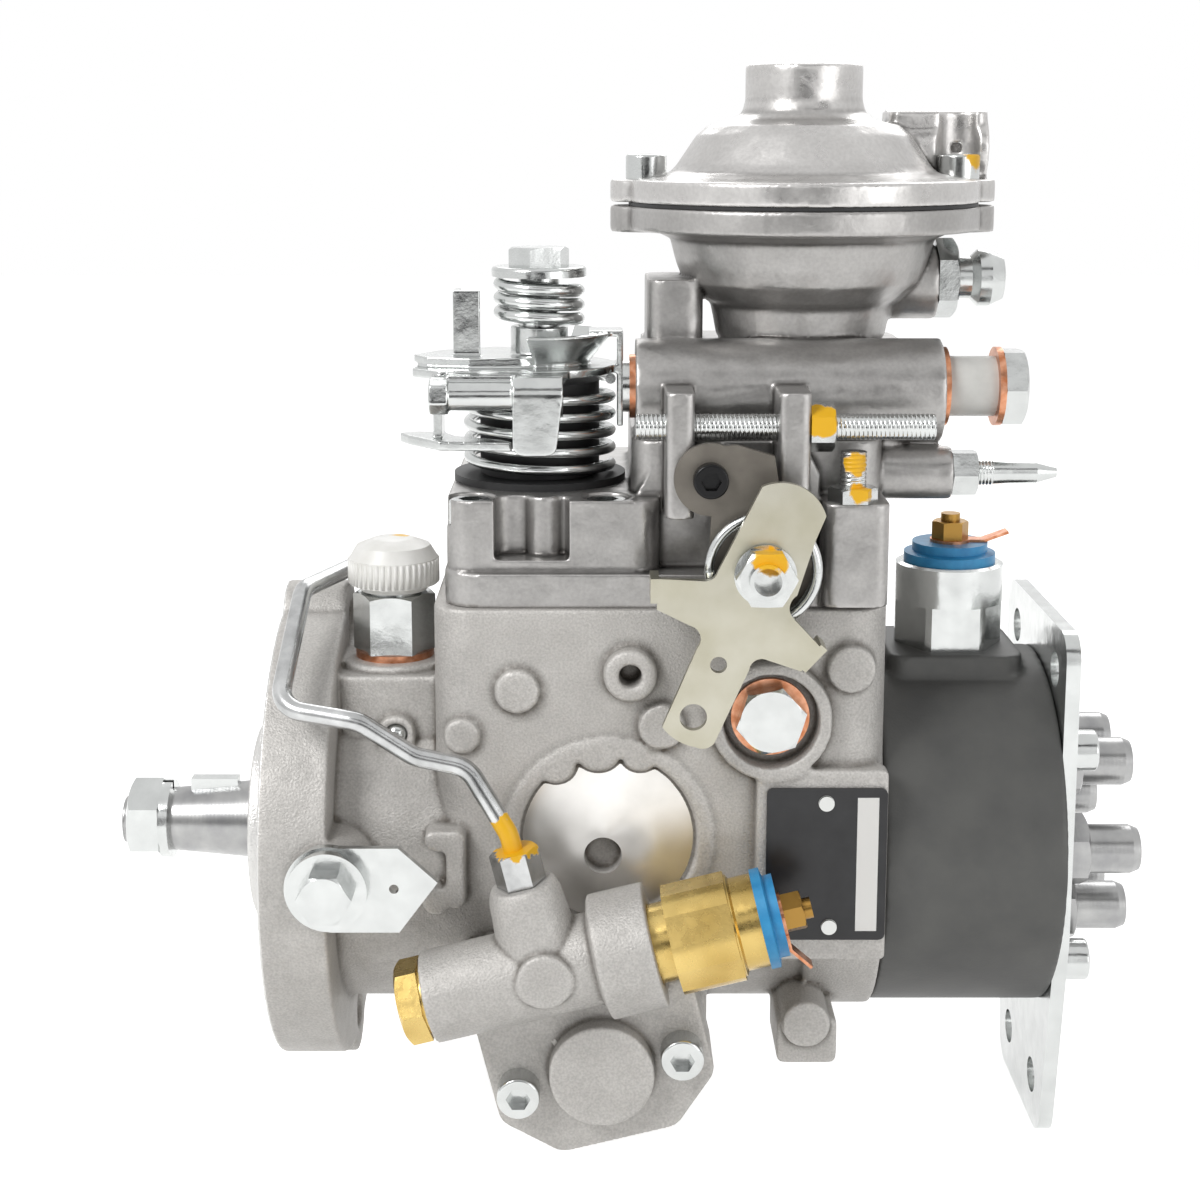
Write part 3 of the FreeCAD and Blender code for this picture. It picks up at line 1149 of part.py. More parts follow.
def solenoid_armature():
    return revolved([(0, -9.5), (1.5, -9.5), (4.0 - RUN, -6), (4.0 - RUN, 10), (0, 10)], (SOL_X, 0, SOL_Z), Z)


def solenoid_terminals():
    parts = []
    top = TERMINAL_SEAL_H
    for at, along in (((SOL_X, 0, SOL_Z + SOL_H), Z), (cold_point(COLD_CAP_END, 0, 0), COLD_AXIS)):
        base = V(*at)
        seal = revolved([(0, 0), (11.4, 0), (11.4, 2.2), (9.4, 2.6), (9.4, top), (0, top)], at, along)
        nut = hex_chamfered(8.0, tuple(base + along * (top + TAB_T)), along, 4.6)
        nut = nut.fuse(cyl(2.4, tuple(base + along * top), along, 7.2))
        parts += [seal, nut.removeSplitter()]
    return parts


def nameplate():
    body = rounded_plate(118.0, 146.2, -12.8, 24.4, -SIDE_Y - 4.3, 0.8, 1.5)
    rivets = []
    for x, z in ((131.9, 20.9), (133.0, -9.5)):
        body = body.cut(cyl(1.0, (x, -SIDE_Y - 6, z), Y, 4))
        rivets.append(cyl(1.0, (x, -SIDE_Y - 4.3, z), Y, 0.8).fuse(cyl(1.8, (x, -SIDE_Y - 5.0, z), Y, 0.7)))
    return [body] + rivets


def lock_plate():
    y = STOP_BOSS_Y - 2.0
    pts = [(104.0, 80.0), (109, 74), (122, 82), (118.5, 103), (110, 105.5), (104.0, 105), (98.5, 97.5),
           (104.3, 89)]
    body = joined([plate(pts, y, 2.0), cyl(8.3, (LOCK_X, y, LOCK_Z), Y, 2.0),
                   cyl(12.6, (STOP_X, y, STOP_Z), Y, 2.0)])
    body = less(body, [cyl(3.0, (LOCK_X, y - 1, LOCK_Z), Y, 8), cyl(7.0, (STOP_X, y - 1, STOP_Z), Y, 8)])
    screw = cap_screw((LOCK_X, y, LOCK_Z), Y * -1, 4.0, 3.0, 2.5, 10.0)
    return [body, screw]


def adjusting_screws():
    rod = cyl(ROD_R, (ROD_X, ROD_Y, ROD_Z), X, ROD_END_X - ROD_X)
    nut = hex_chamfered(10.0, (127.0, ROD_Y, ROD_Z), X, 5.6).cut(rod)
    stud = cyl(2.9, (STUD_X, ROD_Y, 80), Z, STUD_TOP_Z - 80)
    stud_nut = hex_chamfered(10.0, (STUD_X, ROD_Y, COVER_BLOCK_Z + 0.4), Z, 3.4, 0).cut(stud)
    screw = revolved([(0, 152), (2.9, 152), (2.9, 172), (2.6, 177), (2.6, 183), (1.2, 187.9), (0, 187.9)],
                     (0, LOAD_Y, LOAD_Z), X)
    lock = hex_chamfered(10.0, (162.7, LOAD_Y, LOAD_Z), X, 6.0, 30).cut(screw)
    return [rod, nut, stud, stud_nut, screw, lock]


def return_springs():
    z = COVER_BLOCK_Z + 2.0
    pitch = (24.0 - 2 * MAIN_WIRE_R) / MAIN_COILS
    main = coil(MAIN_COIL_R, MAIN_WIRE_R, pitch, MAIN_COILS, (THROTTLE_X, THROTTLE_Y, z + MAIN_WIRE_R + 0.1))
    stop = coil(STOP_COIL_R, STOP_WIRE_R, 2 * STOP_WIRE_R + 0.1, 1.5, (0, 0, 0))
    stop = place(stop, (STOP_X, STOP_BOSS_Y - 2.0 - STOP_WIRE_R - 0.1, STOP_Z), Y * -1)
    return [main, stop]


def throttle_bush():
    z = COVER_BLOCK_Z
    washer = tube(21.0, THROTTLE_R + RUN, (THROTTLE_X, THROTTLE_Y, z), Z, 1.8)
    core = tube(14.6, THROTTLE_R + RUN, (THROTTLE_X, THROTTLE_Y, z + 1.8), Z, 22.6)
    return washer.fuse(core).removeSplitter()


def throttle_shaft():
    z_top = THROTTLE_TOP_Z
    shaft = cyl(THROTTLE_R, (THROTTLE_X, THROTTLE_Y, 70), Z, z_top - 70)
    crank = cyl(9.0, (THROTTLE_X, THROTTLE_Y, 70), Z, 4)
    pin = cyl(CRANK_R, (THROTTLE_X + CRANK_X, THROTTLE_Y + CRANK_Y, 58.5), Z, 12)
    shaft = joined([shaft, crank, pin])
    retainer = cyl(TOP_COIL_R + TOP_WIRE_R + 0.3, (THROTTLE_X, THROTTLE_Y, z_top - RETAINER_T), Z, RETAINER_T)
    rim = [e for e in retainer.Edges if abs(e.CenterOfMass.z - z_top) < 0.01]
    retainer = retainer.makeFillet(0.9, rim)
    nut = hex_chamfered(13.0, (THROTTLE_X, THROTTLE_Y, z_top), Z, 4.6, 15)
    shaft = joined([shaft, retainer, nut])
    return shaft.removeSplitter()


def throttle_levers():
    """Spring seat with its hook, clamp barrel with a hanging tab, lower arm and dished upper lever."""
    cx, cy = THROTTLE_X, THROTTLE_Y
    low_z = SEAT_Z - 16.0
    barrel_z = SEAT_Z - 3.0
    barrel_y = -25.0
    upper_z = SEAT_Z + 2.6

    def flat(points, z, t, corner=0.0):
        ring = [V(cx + x, cy + y, z) for x, y in points + points[:1]]
        solid = Part.Face(Part.makePolygon(ring)).extrude(V(0, 0, t))
        if corner > 0:
            edges = [e for e in solid.Edges if abs(e.tangentAt(e.FirstParameter).z) > 0.99]
            solid = solid.makeFillet(corner, edges)
        return solid

    def block(x0, x1, y0, y1, z0, z1):
        return box(cx + x0, cx + x1, cy + y0, cy + y1, z0, z1)

    seat = cyl(18.6, (cx, cy, SEAT_Z), Z, 2.0)
    arm = flat([(-6, -17), (-23, -19), (-30, -13), (-29, -3), (-16, 10), (-6, 16)], SEAT_Z, 2.0, 2.0)
    front = flat([(-21, barrel_y), (6.0, barrel_y), (8, -14), (-21, -14)], SEAT_Z - 0.4, 2.0)
    riser = block(-24.6, -22.6, -19, -9, low_z + 1, SEAT_Z + 1)
    lower = flat([(-22.6, -9), (-19.5, -15.0), (-8, -21.4), (-5, -26.0), (-23, -24.5), (-31, -15),
                  (-33.5, -10), (-29, -8)], low_z, 2.2, 0.8)
    barrel = cyl(3.4, (cx - 21, cy + barrel_y, barrel_z), X, 17.0)
    star = hex_chamfered(7.6, (cx - 20.5, cy + barrel_y, barrel_z), X * -1, 4.4, 10)
    clamp = cyl(4.9, (cx - 5.4, cy + barrel_y, barrel_z), X, 11.6)
    tab = plate([(cx - 5.4, low_z - 0.4), (cx + 4.6, low_z - 0.4), (cx + 6.2, barrel_z), (cx - 5.4, barrel_z)],
                cy + barrel_y - 4.9, 2.0, 2.4)
    dish = revolved([(10.6, upper_z), (12.4, upper_z), (18.2, upper_z + 7.0), (16.6, upper_z + 7.4),
                     (11.0, upper_z + 1.8), (10.6, upper_z + 1.8)], (cx, cy, 0), Z)
    dish = dish.common(flat([(-7, -30), (25, -30), (25, 12), (9, 16)], upper_z - 1, 12))
    upper = flat([(-4, -12.4), (12, -5), (12, 6), (4, 12), (-12, 14), (-25, 6), (-30.5, -4), (-27, -10),
                  (-16, -13)], upper_z, 1.8, 2.0)
    hub = cyl(10.4, (cx, cy, SEAT_Z + 1), Z, upper_z - SEAT_Z)
    frame = joined([block(12.0, 20.4, -5, 5, upper_z + 6.2, upper_z + 7.6),
                    block(18.9, 20.4, -5, 5, SEAT_Z - 13, upper_z + 7.6),
                    block(14.0, 20.4, -5, 5, SEAT_Z, SEAT_Z + 2)])
    frame = frame.cut(cyl(MAIN_COIL_R + MAIN_WIRE_R + 0.3, (cx, cy, 90), Z, SEAT_Z - 90))
    lug_top = TOP_SPRING_Z + 9
    lug = joined([block(-20.5, -14.0, -7.0, -5.2, upper_z + 1, lug_top),
                  block(-20.5, -18.9, -7.0, 1.0, upper_z + 1, lug_top)])
    drum = cyl(7.0, (cx, cy, upper_z), Z, TOP_SPRING_Z - upper_z)
    body = joined([seat, arm, front, riser, lower, barrel, star, clamp, tab, dish, upper, hub, frame, lug, drum])
    body = body.cut(cyl(THROTTLE_R, (cx, cy, 90), Z, 60))
    return body.cut(cyl(1.9, (cx - 30, cy + barrel_y, barrel_z), X, 40))


def throttle_spring():
    pitch = (TOP_SPRING_H - 2 * TOP_WIRE_R) / TOP_COILS
    start = (THROTTLE_X, THROTTLE_Y, TOP_SPRING_Z + TOP_WIRE_R + 0.1)
    return coil(TOP_COIL_R, TOP_WIRE_R, pitch, TOP_COILS, start)


def stop_lever():
    """Pressed plate: rounded head and foot, two bent horns, hollow corners between them."""
    outline = [[(123.2, 97.7), (129.4, 90.9)], [(127.1, 85.3)], [(123.2, 72.8)],
               [(121.7, 68.9), (122.5, 67.5)], [(129.0, 60.5)], [(124.4, 55.3)], [(116.8, 57.9)],
               [(113.9, 57.7), (112.7, 55.7)], [(105.0, 38.5)], [(102.6, 37.2), (100.7, 37.6)],
               [(97.0, 38.9), (93.2, 42.3)], [(101.0, 60.7)], [(101.7, 63.2), (99.3, 65.9)],
               [(91.8, 69.6)], [(92.4, 76.6)], [(102.5, 76.1)], [(104.3, 76.6), (105.4, 78.2)],
               [(115.1, 97.5)]]
    body = drawn((115.1, 97.5), outline, STOP_Y, STOP_T)
    tab = box(90.4, 92.4, STOP_Y, STOP_Y + 9, 71.0, 76.6)
    wing = plate([(124.0, 56.3), (128.8, 61.5), (130.2, 60.2), (125.4, 55.0)], STOP_Y, 9.0)
    body = joined([body, tab, wing])
    return less(body, [cyl(STOP_R, (STOP_X, -70, STOP_Z), Y, 20), cyl(3.1, (100.2, -70, 44.6), Y, 20),
                       cyl(1.9, (105.8, -70, 56.8), Y, 20)])


def stop_shaft():
    shaft = cyl(STOP_R, (STOP_X, -66.0, STOP_Z), Y, 43.5)
    hub = cyl(6.4, (STOP_X, STOP_Y + STOP_T, STOP_Z), Y, STOP_BOSS_Y - STOP_Y - STOP_T - 0.2)
    nut = hex_chamfered(12.0, (STOP_X, STOP_Y - 1.2, STOP_Z), Y * -1, 5.2)
    flange = cyl(7.0, (STOP_X, STOP_Y - 1.2, STOP_Z), Y, 1.2)
    finger = box(STOP_X - 2.5, STOP_X + 2.5, -26.5, -22.5, STOP_Z - 9, STOP_Z)
    body = joined([shaft, hub, nut, flange, finger])
    return body.cut(cyl(STOP_R - 0.9, (STOP_X, -67.0, STOP_Z), Y, 6.0))


def feeler_pin():
    return cyl(3.0, (90.5, 0, FEELER_Z), X, BOOST_X - 3.1 - 90.5)


def boost_spring():
    z0 = BOOST_SEAM_Z - 29.5
    z1 = BOOST_SEAM_Z - DIAPHRAGM_T / 2 - 2.3
    turns = 5.0
    return coil(11.5, 1.3, (z1 - z0 - 2.8) / turns, turns, (BOOST_X, 0, z0 + 1.4))


def cap_screws():
    parts = [cap_screw((x, y, COVER_SEAT_Z), Z, length=COVER_SEAT_Z - TOP_Z + 8) for x, y in COVER_SCREWS]
    parts += [cap_screw((at[0], at[1], BOOST_EAR_Z), Z, length=12.5) for at in boost_screw_points()]
    reach = TIMING_HALF + TIMING_COVER_T
    for side, screws in ((-1, LOW_SCREWS), (1, TIMING_SCREWS)):
        for dx, dz in screws:
            parts.append(cap_screw(timing_point(dx, dz, side * reach), Y * side, length=16))
    seat = HEAD_END_X + BRACKET_T
    for angle in HEAD_SCREWS:
        parts.append(cap_screw(polar_x(HEAD_SCREW_R, angle, seat), X, length=seat - BODY_END_X + 12))
    return parts


NODES = {
    "pump_housing": pump_housing,
    "governor_cover": governor_cover,
    "boost_cap": boost_cap,
    "cap_screws": cap_screws,
    "shaft_bearing": lambda: [shaft_bush(), shaft_seal()],
    "pump_ring": lambda: [pump_ring(), pump_plate()],
    "distributor_head": distributor_head,
    "delivery_valves": delivery_valves,
    "sealing_plugs": sealing_plugs,
    "governor_pins": governor_pins,
    "throttle_bush": throttle_bush,
    "return_springs": return_springs,
    "adjusting_screws": adjusting_screws,
    "lock_plate": lock_plate,
    "hose_barb": hose_barb,
    "return_bolt": return_bolt,
    "return_sleeve": return_sleeve,
    "copper_washers": copper_washers,
    "stop_solenoid": stop_solenoid,
    "solenoid_terminals": solenoid_terminals,
    "inlet_union": inlet_union,
    "inlet_cap": inlet_cap,
    "nameplate": nameplate,
    "timing_cover": timing_cover,
    "cold_start_body": cold_start_body,
    "cold_start_fittings": cold_start_fittings,
    "fuel_pipe": lambda: [fuel_pipe()] + pipe_nuts(),
    "lock_bolt": lock_bolt,
    "rear_bracket": rear_bracket,
    "plunger_springs": plunger_springs,
    "timing_spring": timing_spring,
    "boost_spring": boost_spring,
    "boost_diaphragm": boost_diaphragm,
    "drive_shaft": drive_shaft,
    "shaft_nut": shaft_fasteners,
    "pump_rotor": pump_rotor,
    "governor_drive_gear": governor_drive_gear,
    "cross_disc": cross_disc,
    "cam_plate": cam_plate,
    "plunger": plunger,
    "roller_ring": roller_ring,
    "timing_piston": timing_piston,
    "weight_carrier": weight_carrier,
    "governor_sleeve": governor_sleeve,
    "governor_lever": governor_lever,
    "governor_spring": governor_spring,
    "control_spool": control_spool,
    "throttle_shaft": throttle_shaft,
    "throttle_levers": throttle_levers,
    "throttle_spring": throttle_spring,
    "stop_shaft": stop_shaft,
    "stop_lever": stop_lever,
    "boost_piston": boost_piston,
    "feeler_pin": feeler_pin,
    "solenoid_armature": solenoid_armature,
    "cold_start_needle": cold_start_needle,
}

for number, angle in enumerate(around(WEIGHTS)):
    save("flyweight_" + str(number + 1), flyweight(angle))
for node, make in NODES.items():
    save(node, make())
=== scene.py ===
import math

import bpy
import bmesh
from mathutils import Matrix, Vector


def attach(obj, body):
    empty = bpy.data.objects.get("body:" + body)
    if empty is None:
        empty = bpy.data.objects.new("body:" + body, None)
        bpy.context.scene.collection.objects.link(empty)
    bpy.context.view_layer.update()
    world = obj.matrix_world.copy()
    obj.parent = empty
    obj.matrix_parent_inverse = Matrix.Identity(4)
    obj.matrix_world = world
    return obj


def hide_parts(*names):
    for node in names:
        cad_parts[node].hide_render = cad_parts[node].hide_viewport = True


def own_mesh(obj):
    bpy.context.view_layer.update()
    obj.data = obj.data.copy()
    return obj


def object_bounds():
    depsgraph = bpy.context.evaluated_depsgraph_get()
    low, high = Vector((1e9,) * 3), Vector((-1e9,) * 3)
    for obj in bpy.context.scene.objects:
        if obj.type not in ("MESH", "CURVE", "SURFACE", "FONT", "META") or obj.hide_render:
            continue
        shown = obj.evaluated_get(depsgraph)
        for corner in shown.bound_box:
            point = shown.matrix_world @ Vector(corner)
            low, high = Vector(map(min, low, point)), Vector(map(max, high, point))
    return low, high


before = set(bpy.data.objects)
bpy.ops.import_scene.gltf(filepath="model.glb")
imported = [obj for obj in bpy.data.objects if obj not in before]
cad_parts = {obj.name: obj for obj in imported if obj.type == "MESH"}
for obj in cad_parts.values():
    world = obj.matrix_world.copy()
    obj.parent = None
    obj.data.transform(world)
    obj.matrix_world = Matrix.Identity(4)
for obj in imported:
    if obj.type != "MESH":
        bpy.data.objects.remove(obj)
cad_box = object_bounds()

# Rotary diesel injection pump. Metres; sizes below are millimetres times MM.
MM = 0.001
ROOT = "pump_body"

# Places on the pump, in millimetres, as in the solids
RECESS_AT = (81.0, -42.4, 10.6)
RECESS_R = 20.9
RECESS_HOLE_AT = (79.8, -42.4, 5.9)
RECESS_HOLE_R = 4.5
RECESS_FACE_PROUD = 0.15
RECESS_FACE_T = 0.3
COLD_AT = (36.0, -62.0, -21.8)
COLD_TILT = math.radians(14.0)
COLD_TERMINAL = 86.9
SOLENOID_AT = (167.4, 0.0, 47.5)
SOLENOID_TERMINAL = 25.8
CAP_AT = (28.5, -15.0, 66.2)
CAP_R = 10.8
CAP_EDGE_H = 6.4
CAP_RIBS = 44
NAMEPLATE_Y = -48.3
BOOST_SPRING_AT = (128.6, 0.0, 129.7)
TIMING_SPRING_AT = (79.5, 19.5, -42.5)
NAMEPLATE_RIVETS = ((131.9, 20.9), (133.0, -9.5))
STRIP_X = (139.2, 144.2)
STRIP_Z = (-10.6, 22.2)
LOCK_SCREW_AT = (104.1, -51.6, 97.6)
THROTTLE_X, THROTTLE_Y = 64.3, -8.0
RETURN_SPRING_Z = 94.7
THROTTLE_SPRING_Z = 130.3
STOP_SPRING_AT = (116.0, -50.9, 77.6)
ROD_AT = (87.4, -42, 108.6)
STUD_AT = (137.2, -42, 94.9)
FULL_LOAD_AT = (162.6, -24, 95)
SHAFT_END_AT = (-43.2, 0, 0)

# Dabs of yellow paint: centre and radius
CAP_SCREW_PAINT = [((170.6, -3.5, 169.0), 3.0)]
ADJUSTER_PAINT = [((129.0, -47.0, 111.5), 4.6), ((124.5, -47.5, 113.5), 2.6),
                  ((137.4, -44.5, 100.5), 2.8), ((138.5, -46.0, 94.0), 2.4)]
STOP_NUT_PAINT = [((116.5, -63.0, 82.0), 4.2)]
CAP_PAINT_AT = (30.0, -13.0, 79.8)
PIPE_NUT_PAINT_AT = (59.5, -62.0, 17.5)

# The photograph's camera, in metres, and the floor below the pump
CAMERA_AT = (0.0791, -0.4896, 0.1752)
CAMERA_PITCH = math.radians(80)
STUDIO_AIM = (0.08, 0.0, 0.06)
FLOOR_HALF = 3.0
FLOOR_GAP = 0.0005


def linear(hex_colour):
    """sRGB hex value as linear RGBA."""
    parts = [int(hex_colour[i:i + 2], 16) / 255 for i in (1, 3, 5)]
    return tuple(c / 12.92 if c <= 0.04045 else ((c + 0.055) / 1.055) ** 2.4 for c in parts) + (1.0,)


def add(tree, kind, inputs=None, **settings):
    """Adds a node with its settings, and sets or links its inputs."""
    node = tree.nodes.new(kind)
    for name, value in settings.items():
        setattr(node, name, value)
    for key, value in (inputs or {}).items():
        if isinstance(value, bpy.types.NodeSocket):
            tree.links.new(value, node.inputs[key])
        else:
            node.inputs[key].default_value = value
    return node


def millimetres(*values):
    """The same point in metres."""
    return tuple(v * MM for v in values)


# Finishes

def started(name, hex_colour, metallic, roughness):
    """A new finish: its material, tree, shader and Object coordinates."""
    mat = bpy.data.materials.new(name)
    mat.use_nodes = True
    tree = mat.node_tree
    tree.nodes.clear()
    shader = add(tree, "ShaderNodeBsdfPrincipled",
                 {"Base Color": linear(hex_colour), "Metallic": metallic, "Roughness": roughness})
    add(tree, "ShaderNodeOutputMaterial", {"Surface": shader.outputs["BSDF"]})
    place = add(tree, "ShaderNodeTexCoord").outputs["Object"]
    return mat, tree, shader, place


def opened(mat):
    """The tree, shader and coordinates of a finish, to add to it."""
    tree = mat.node_tree
    shader = next(n for n in tree.nodes if n.type == "BSDF_PRINCIPLED")
    return tree, shader, next(n for n in tree.nodes if n.type == "TEX_COORD").outputs["Object"]


def cloudy(tree, shader, place, dark, light, size_mm, detail=4.0):
    """Base colour that drifts between two values in patches of size_mm."""
    noise = add(tree, "ShaderNodeTexNoise", {"Vector": place, "Scale": 1 / (size_mm * MM), "Detail": detail})
    ramp = add(tree, "ShaderNodeValToRGB", {"Fac": noise.outputs["Fac"]})
    for stop, position, colour in zip(ramp.color_ramp.elements, (0.3, 0.7), (dark, light)):
        stop.position = position
        stop.color = linear(colour)
    tree.links.new(ramp.outputs["Color"], shader.inputs["Base Color"])


def grained(tree, shader, place, size_mm, depth_mm):
    """Raised grain of size_mm, depth_mm high."""
    noise = add(tree, "ShaderNodeTexNoise", {"Vector": place, "Scale": 1 / (size_mm * MM), "Detail": 2.0})
    bump = add(tree, "ShaderNodeBump", {"Height": noise.outputs["Fac"], "Distance": depth_mm * MM})
    tree.links.new(bump.outputs["Normal"], shader.inputs["Normal"])


def uneven(tree, shader, place, size_mm, depth_mm):
    """Long shallow waves under the grain, as a mould or a press leaves them, so that highlights break up."""
    noise = add(tree, "ShaderNodeTexNoise", {"Vector": place, "Scale": 1 / (size_mm * MM), "Detail": 1.0})
    bump = add(tree, "ShaderNodeBump", {"Height": noise.outputs["Fac"], "Distance": depth_mm * MM})
    grain = shader.inputs["Normal"].links[0].from_node
    tree.links.new(bump.outputs["Normal"], grain.inputs["Normal"])


def worn_gloss(tree, shader, place, size_mm, low, high):
    """Roughness that drifts between low and high in patches of size_mm."""
    noise = add(tree, "ShaderNodeTexNoise", {"Vector": place, "Scale": 1 / (size_mm * MM), "Detail": 3.0})
    span = add(tree, "ShaderNodeMapRange", {"Value": noise.outputs["Fac"], "From Min": 0.3, "From Max": 0.7,
                                            "To Min": low, "To Max": high})
    tree.links.new(span.outputs["Result"], shader.inputs["Roughness"])


def multiplied(tree, socket, colour):
    """Multiplies what feeds the socket by a colour."""
    mix = add(tree, "ShaderNodeMix", {0: 1.0, 6: socket.links[0].from_socket, 7: colour},
              data_type="RGBA", blend_type="MULTIPLY")
    tree.links.new(mix.outputs[2], socket)


def speckled(tree, shader, place, size_mm, low):
    """Darkens the colour in fine sandy specks, down to low."""
    noise = add(tree, "ShaderNodeTexNoise", {"Vector": place, "Scale": 1 / (size_mm * MM), "Detail": 3.0})
    span = add(tree, "ShaderNodeMapRange", {"Value": noise.outputs["Fac"], "From Min": 0.35, "From Max": 0.65,
                                            "To Min": low, "To Max": 1.0})
    grey = add(tree, "ShaderNodeCombineColor", {i: span.outputs["Result"] for i in range(3)})
    multiplied(tree, shader.inputs["Base Color"], grey.outputs["Color"])


def hollow_shade_and_worn_edges(tree, shader, dark, light, reach=0.035):
    """Multiplies the colour by dark in hollows, a painted shade, and by light on edges, where hands rub a
    casting.
    """
    bend = add(tree, "ShaderNodeNewGeometry").outputs["Pointiness"]
    ramp = add(tree, "ShaderNodeValToRGB", {"Fac": bend})
    stops = ramp.color_ramp.elements
    stops[0].position, stops[0].color = 0.5 - reach, linear(dark)
    stops[1].position, stops[1].color = 0.5 + reach, linear(light)
    flat = stops.new(0.5)
    flat.color = linear("#F4F4F4")
    multiplied(tree, shader.inputs["Base Color"], ramp.outputs["Color"])


def turned_marks(tree, shader, place, pitch_mm, depth_mm, direction):
    """Fine tool marks across the direction of turning."""
    wave = add(tree, "ShaderNodeTexWave", {"Vector": place, "Scale": 1 / (pitch_mm * MM * 6.2832),
                                           "Distortion": 1.5}, bands_direction=direction)
    bump = add(tree, "ShaderNodeBump", {"Height": wave.outputs["Fac"], "Distance": depth_mm * MM})
    tree.links.new(bump.outputs["Normal"], shader.inputs["Normal"])


def overlay(tree, shader, mask, hex_colour, metallic, roughness):
    """Another finish where mask is 1."""
    for name, value in (("Base Color", linear(hex_colour)), ("Metallic", metallic), ("Roughness", roughness)):
        socket = shader.inputs[name]
        colour = name == "Base Color"
        a, b, result = (6, 7, 2) if colour else (2, 3, 0)
        mix = add(tree, "ShaderNodeMix", {0: mask, b: value}, data_type="RGBA" if colour else "FLOAT")
        if socket.is_linked:
            tree.links.new(socket.links[0].from_socket, mix.inputs[a])
        else:
            mix.inputs[a].default_value = socket.default_value
        tree.links.new(mix.outputs[result], socket)


def near(tree, place, centre_mm, radius_mm, edge_mm=0.2, ragged_mm=0.0):
    """1 within radius_mm of a point, with an edge as ragged as wet paint leaves."""
    away = add(tree, "ShaderNodeVectorMath", {0: place, 1: millimetres(*centre_mm)}, operation="DISTANCE")
    reach = away.outputs["Value"]
    if ragged_mm:
        noise = add(tree, "ShaderNodeTexNoise", {"Vector": place, "Scale": 1 / (2.0 * MM), "Detail": 2.0})
        shift = add(tree, "ShaderNodeMath", {0: noise.outputs["Fac"], 1: 2 * ragged_mm * MM, 2: reach},
                    operation="MULTIPLY_ADD")
        reach = shift.outputs["Value"]
        radius_mm += ragged_mm
    edge = add(tree, "ShaderNodeMapRange", {"Value": reach, "From Min": (radius_mm + edge_mm) * MM,
                                            "From Max": (radius_mm - edge_mm) * MM})
    return edge.outputs["Result"]


def beyond(tree, place, point_mm, direction):
    """1 on the side of a plane that direction points to."""
    offset = add(tree, "ShaderNodeVectorMath", {0: place, 1: millimetres(*point_mm)}, operation="SUBTRACT")
    along = add(tree, "ShaderNodeVectorMath", {0: offset.outputs["Vector"], 1: direction},
                operation="DOT_PRODUCT")
    side = add(tree, "ShaderNodeMath", {0: along.outputs["Value"], 1: 0.0}, operation="GREATER_THAN")
    return side.outputs["Value"]


def both(tree, a, b):
    """1 where both masks are 1."""
    return add(tree, "ShaderNodeMath", {0: a, 1: b}, operation="MULTIPLY").outputs["Value"]


def shot_blasted_casting():
    # Gravity cast aluminium, shot blasted: warm grey, a dull sheen and a fine sandy grain.
    mat, tree, shader, place = started("shot_blasted_casting", "#BDBAB6", 0.35, 0.5)
    cloudy(tree, shader, place, "#C8C5C1", "#D3D0CC", 9.0)
    speckled(tree, shader, place, 0.55, 0.8)
    # Painted shade: the colour darkens to #827D77 in hollows; edges stay a touch lighter.
    hollow_shade_and_worn_edges(tree, shader, "#827D77", "#FFFFFF")
    worn_gloss(tree, shader, place, 4.0, 0.45, 0.6)
    grained(tree, shader, place, 0.5, 0.2)
    uneven(tree, shader, place, 9.0, 0.5)
    overlay(tree, shader, beyond(tree, place, (0.6, 0, 0), (-1, 0, 0)), "#D4D3D1", 0.8, 0.35)
    return mat


def die_casting(name, dark, light, gloss, hollows=True):
    # Pressure die cast aluminium: smooth skin with soft reflections and faint flow patches.
    mat, tree, shader, place = started(name, light, 0.85, 0.3)
    cloudy(tree, shader, place, dark, light, 14.0, 5.0)
    speckled(tree, shader, place, 0.9, 0.9)
    # Painted shade: when asked for, the colour darkens to #767472 in hollows.
    if hollows:
        hollow_shade_and_worn_edges(tree, shader, "#767472", "#FFFFFF")
    worn_gloss(tree, shader, place, 6.0, gloss, gloss + 0.15)
    grained(tree, shader, place, 1.1, 0.05)
    uneven(tree, shader, place, 7.0, 0.45)
    return mat


def turned_aluminium():
    # Face turned aluminium: bright, with highlights drawn into a fan by the circular tool marks.
    mat, tree, shader, place = started("turned_aluminium", "#E6E4E1", 0.9, 0.3)
    cloudy(tree, shader, place, "#DCDAD6", "#EEECE9", 12.0)
    shader.inputs["Anisotropic"].default_value = 0.85
    middle = add(tree, "ShaderNodeVectorMath", {0: place, 1: millimetres(*RECESS_AT)}, operation="SUBTRACT")
    around = add(tree, "ShaderNodeVectorMath", {0: middle.outputs["Vector"], 1: (0, 1, 0)},
                 operation="CROSS_PRODUCT")
    unit = add(tree, "ShaderNodeVectorMath", {0: around.outputs["Vector"]}, operation="NORMALIZE")
    tree.links.new(unit.outputs["Vector"], shader.inputs["Tangent"])
    return mat


def black_cast_iron():
    # Machined and oil-blackened cast iron: nearly black, soft wide highlights.
    mat, tree, shader, place = started("black_cast_iron", "#545453", 0.4, 0.48)
    cloudy(tree, shader, place, "#515150", "#5B5B59", 11.0)
    grained(tree, shader, place, 0.6, 0.04)
    return mat


def bright_zinc(name="bright_zinc"):
    # Zinc plated steel, clear passivated: a cool bright metal with small uneven patches.
    mat, tree, shader, place = started(name, "#C9CBCA", 1.0, 0.2)
    cloudy(tree, shader, place, "#C3C5C4", "#CED0CF", 6.0)
    worn_gloss(tree, shader, place, 4.0, 0.14, 0.26)
    grained(tree, shader, place, 0.8, 0.02)
    uneven(tree, shader, place, 5.0, 0.12)
    return mat


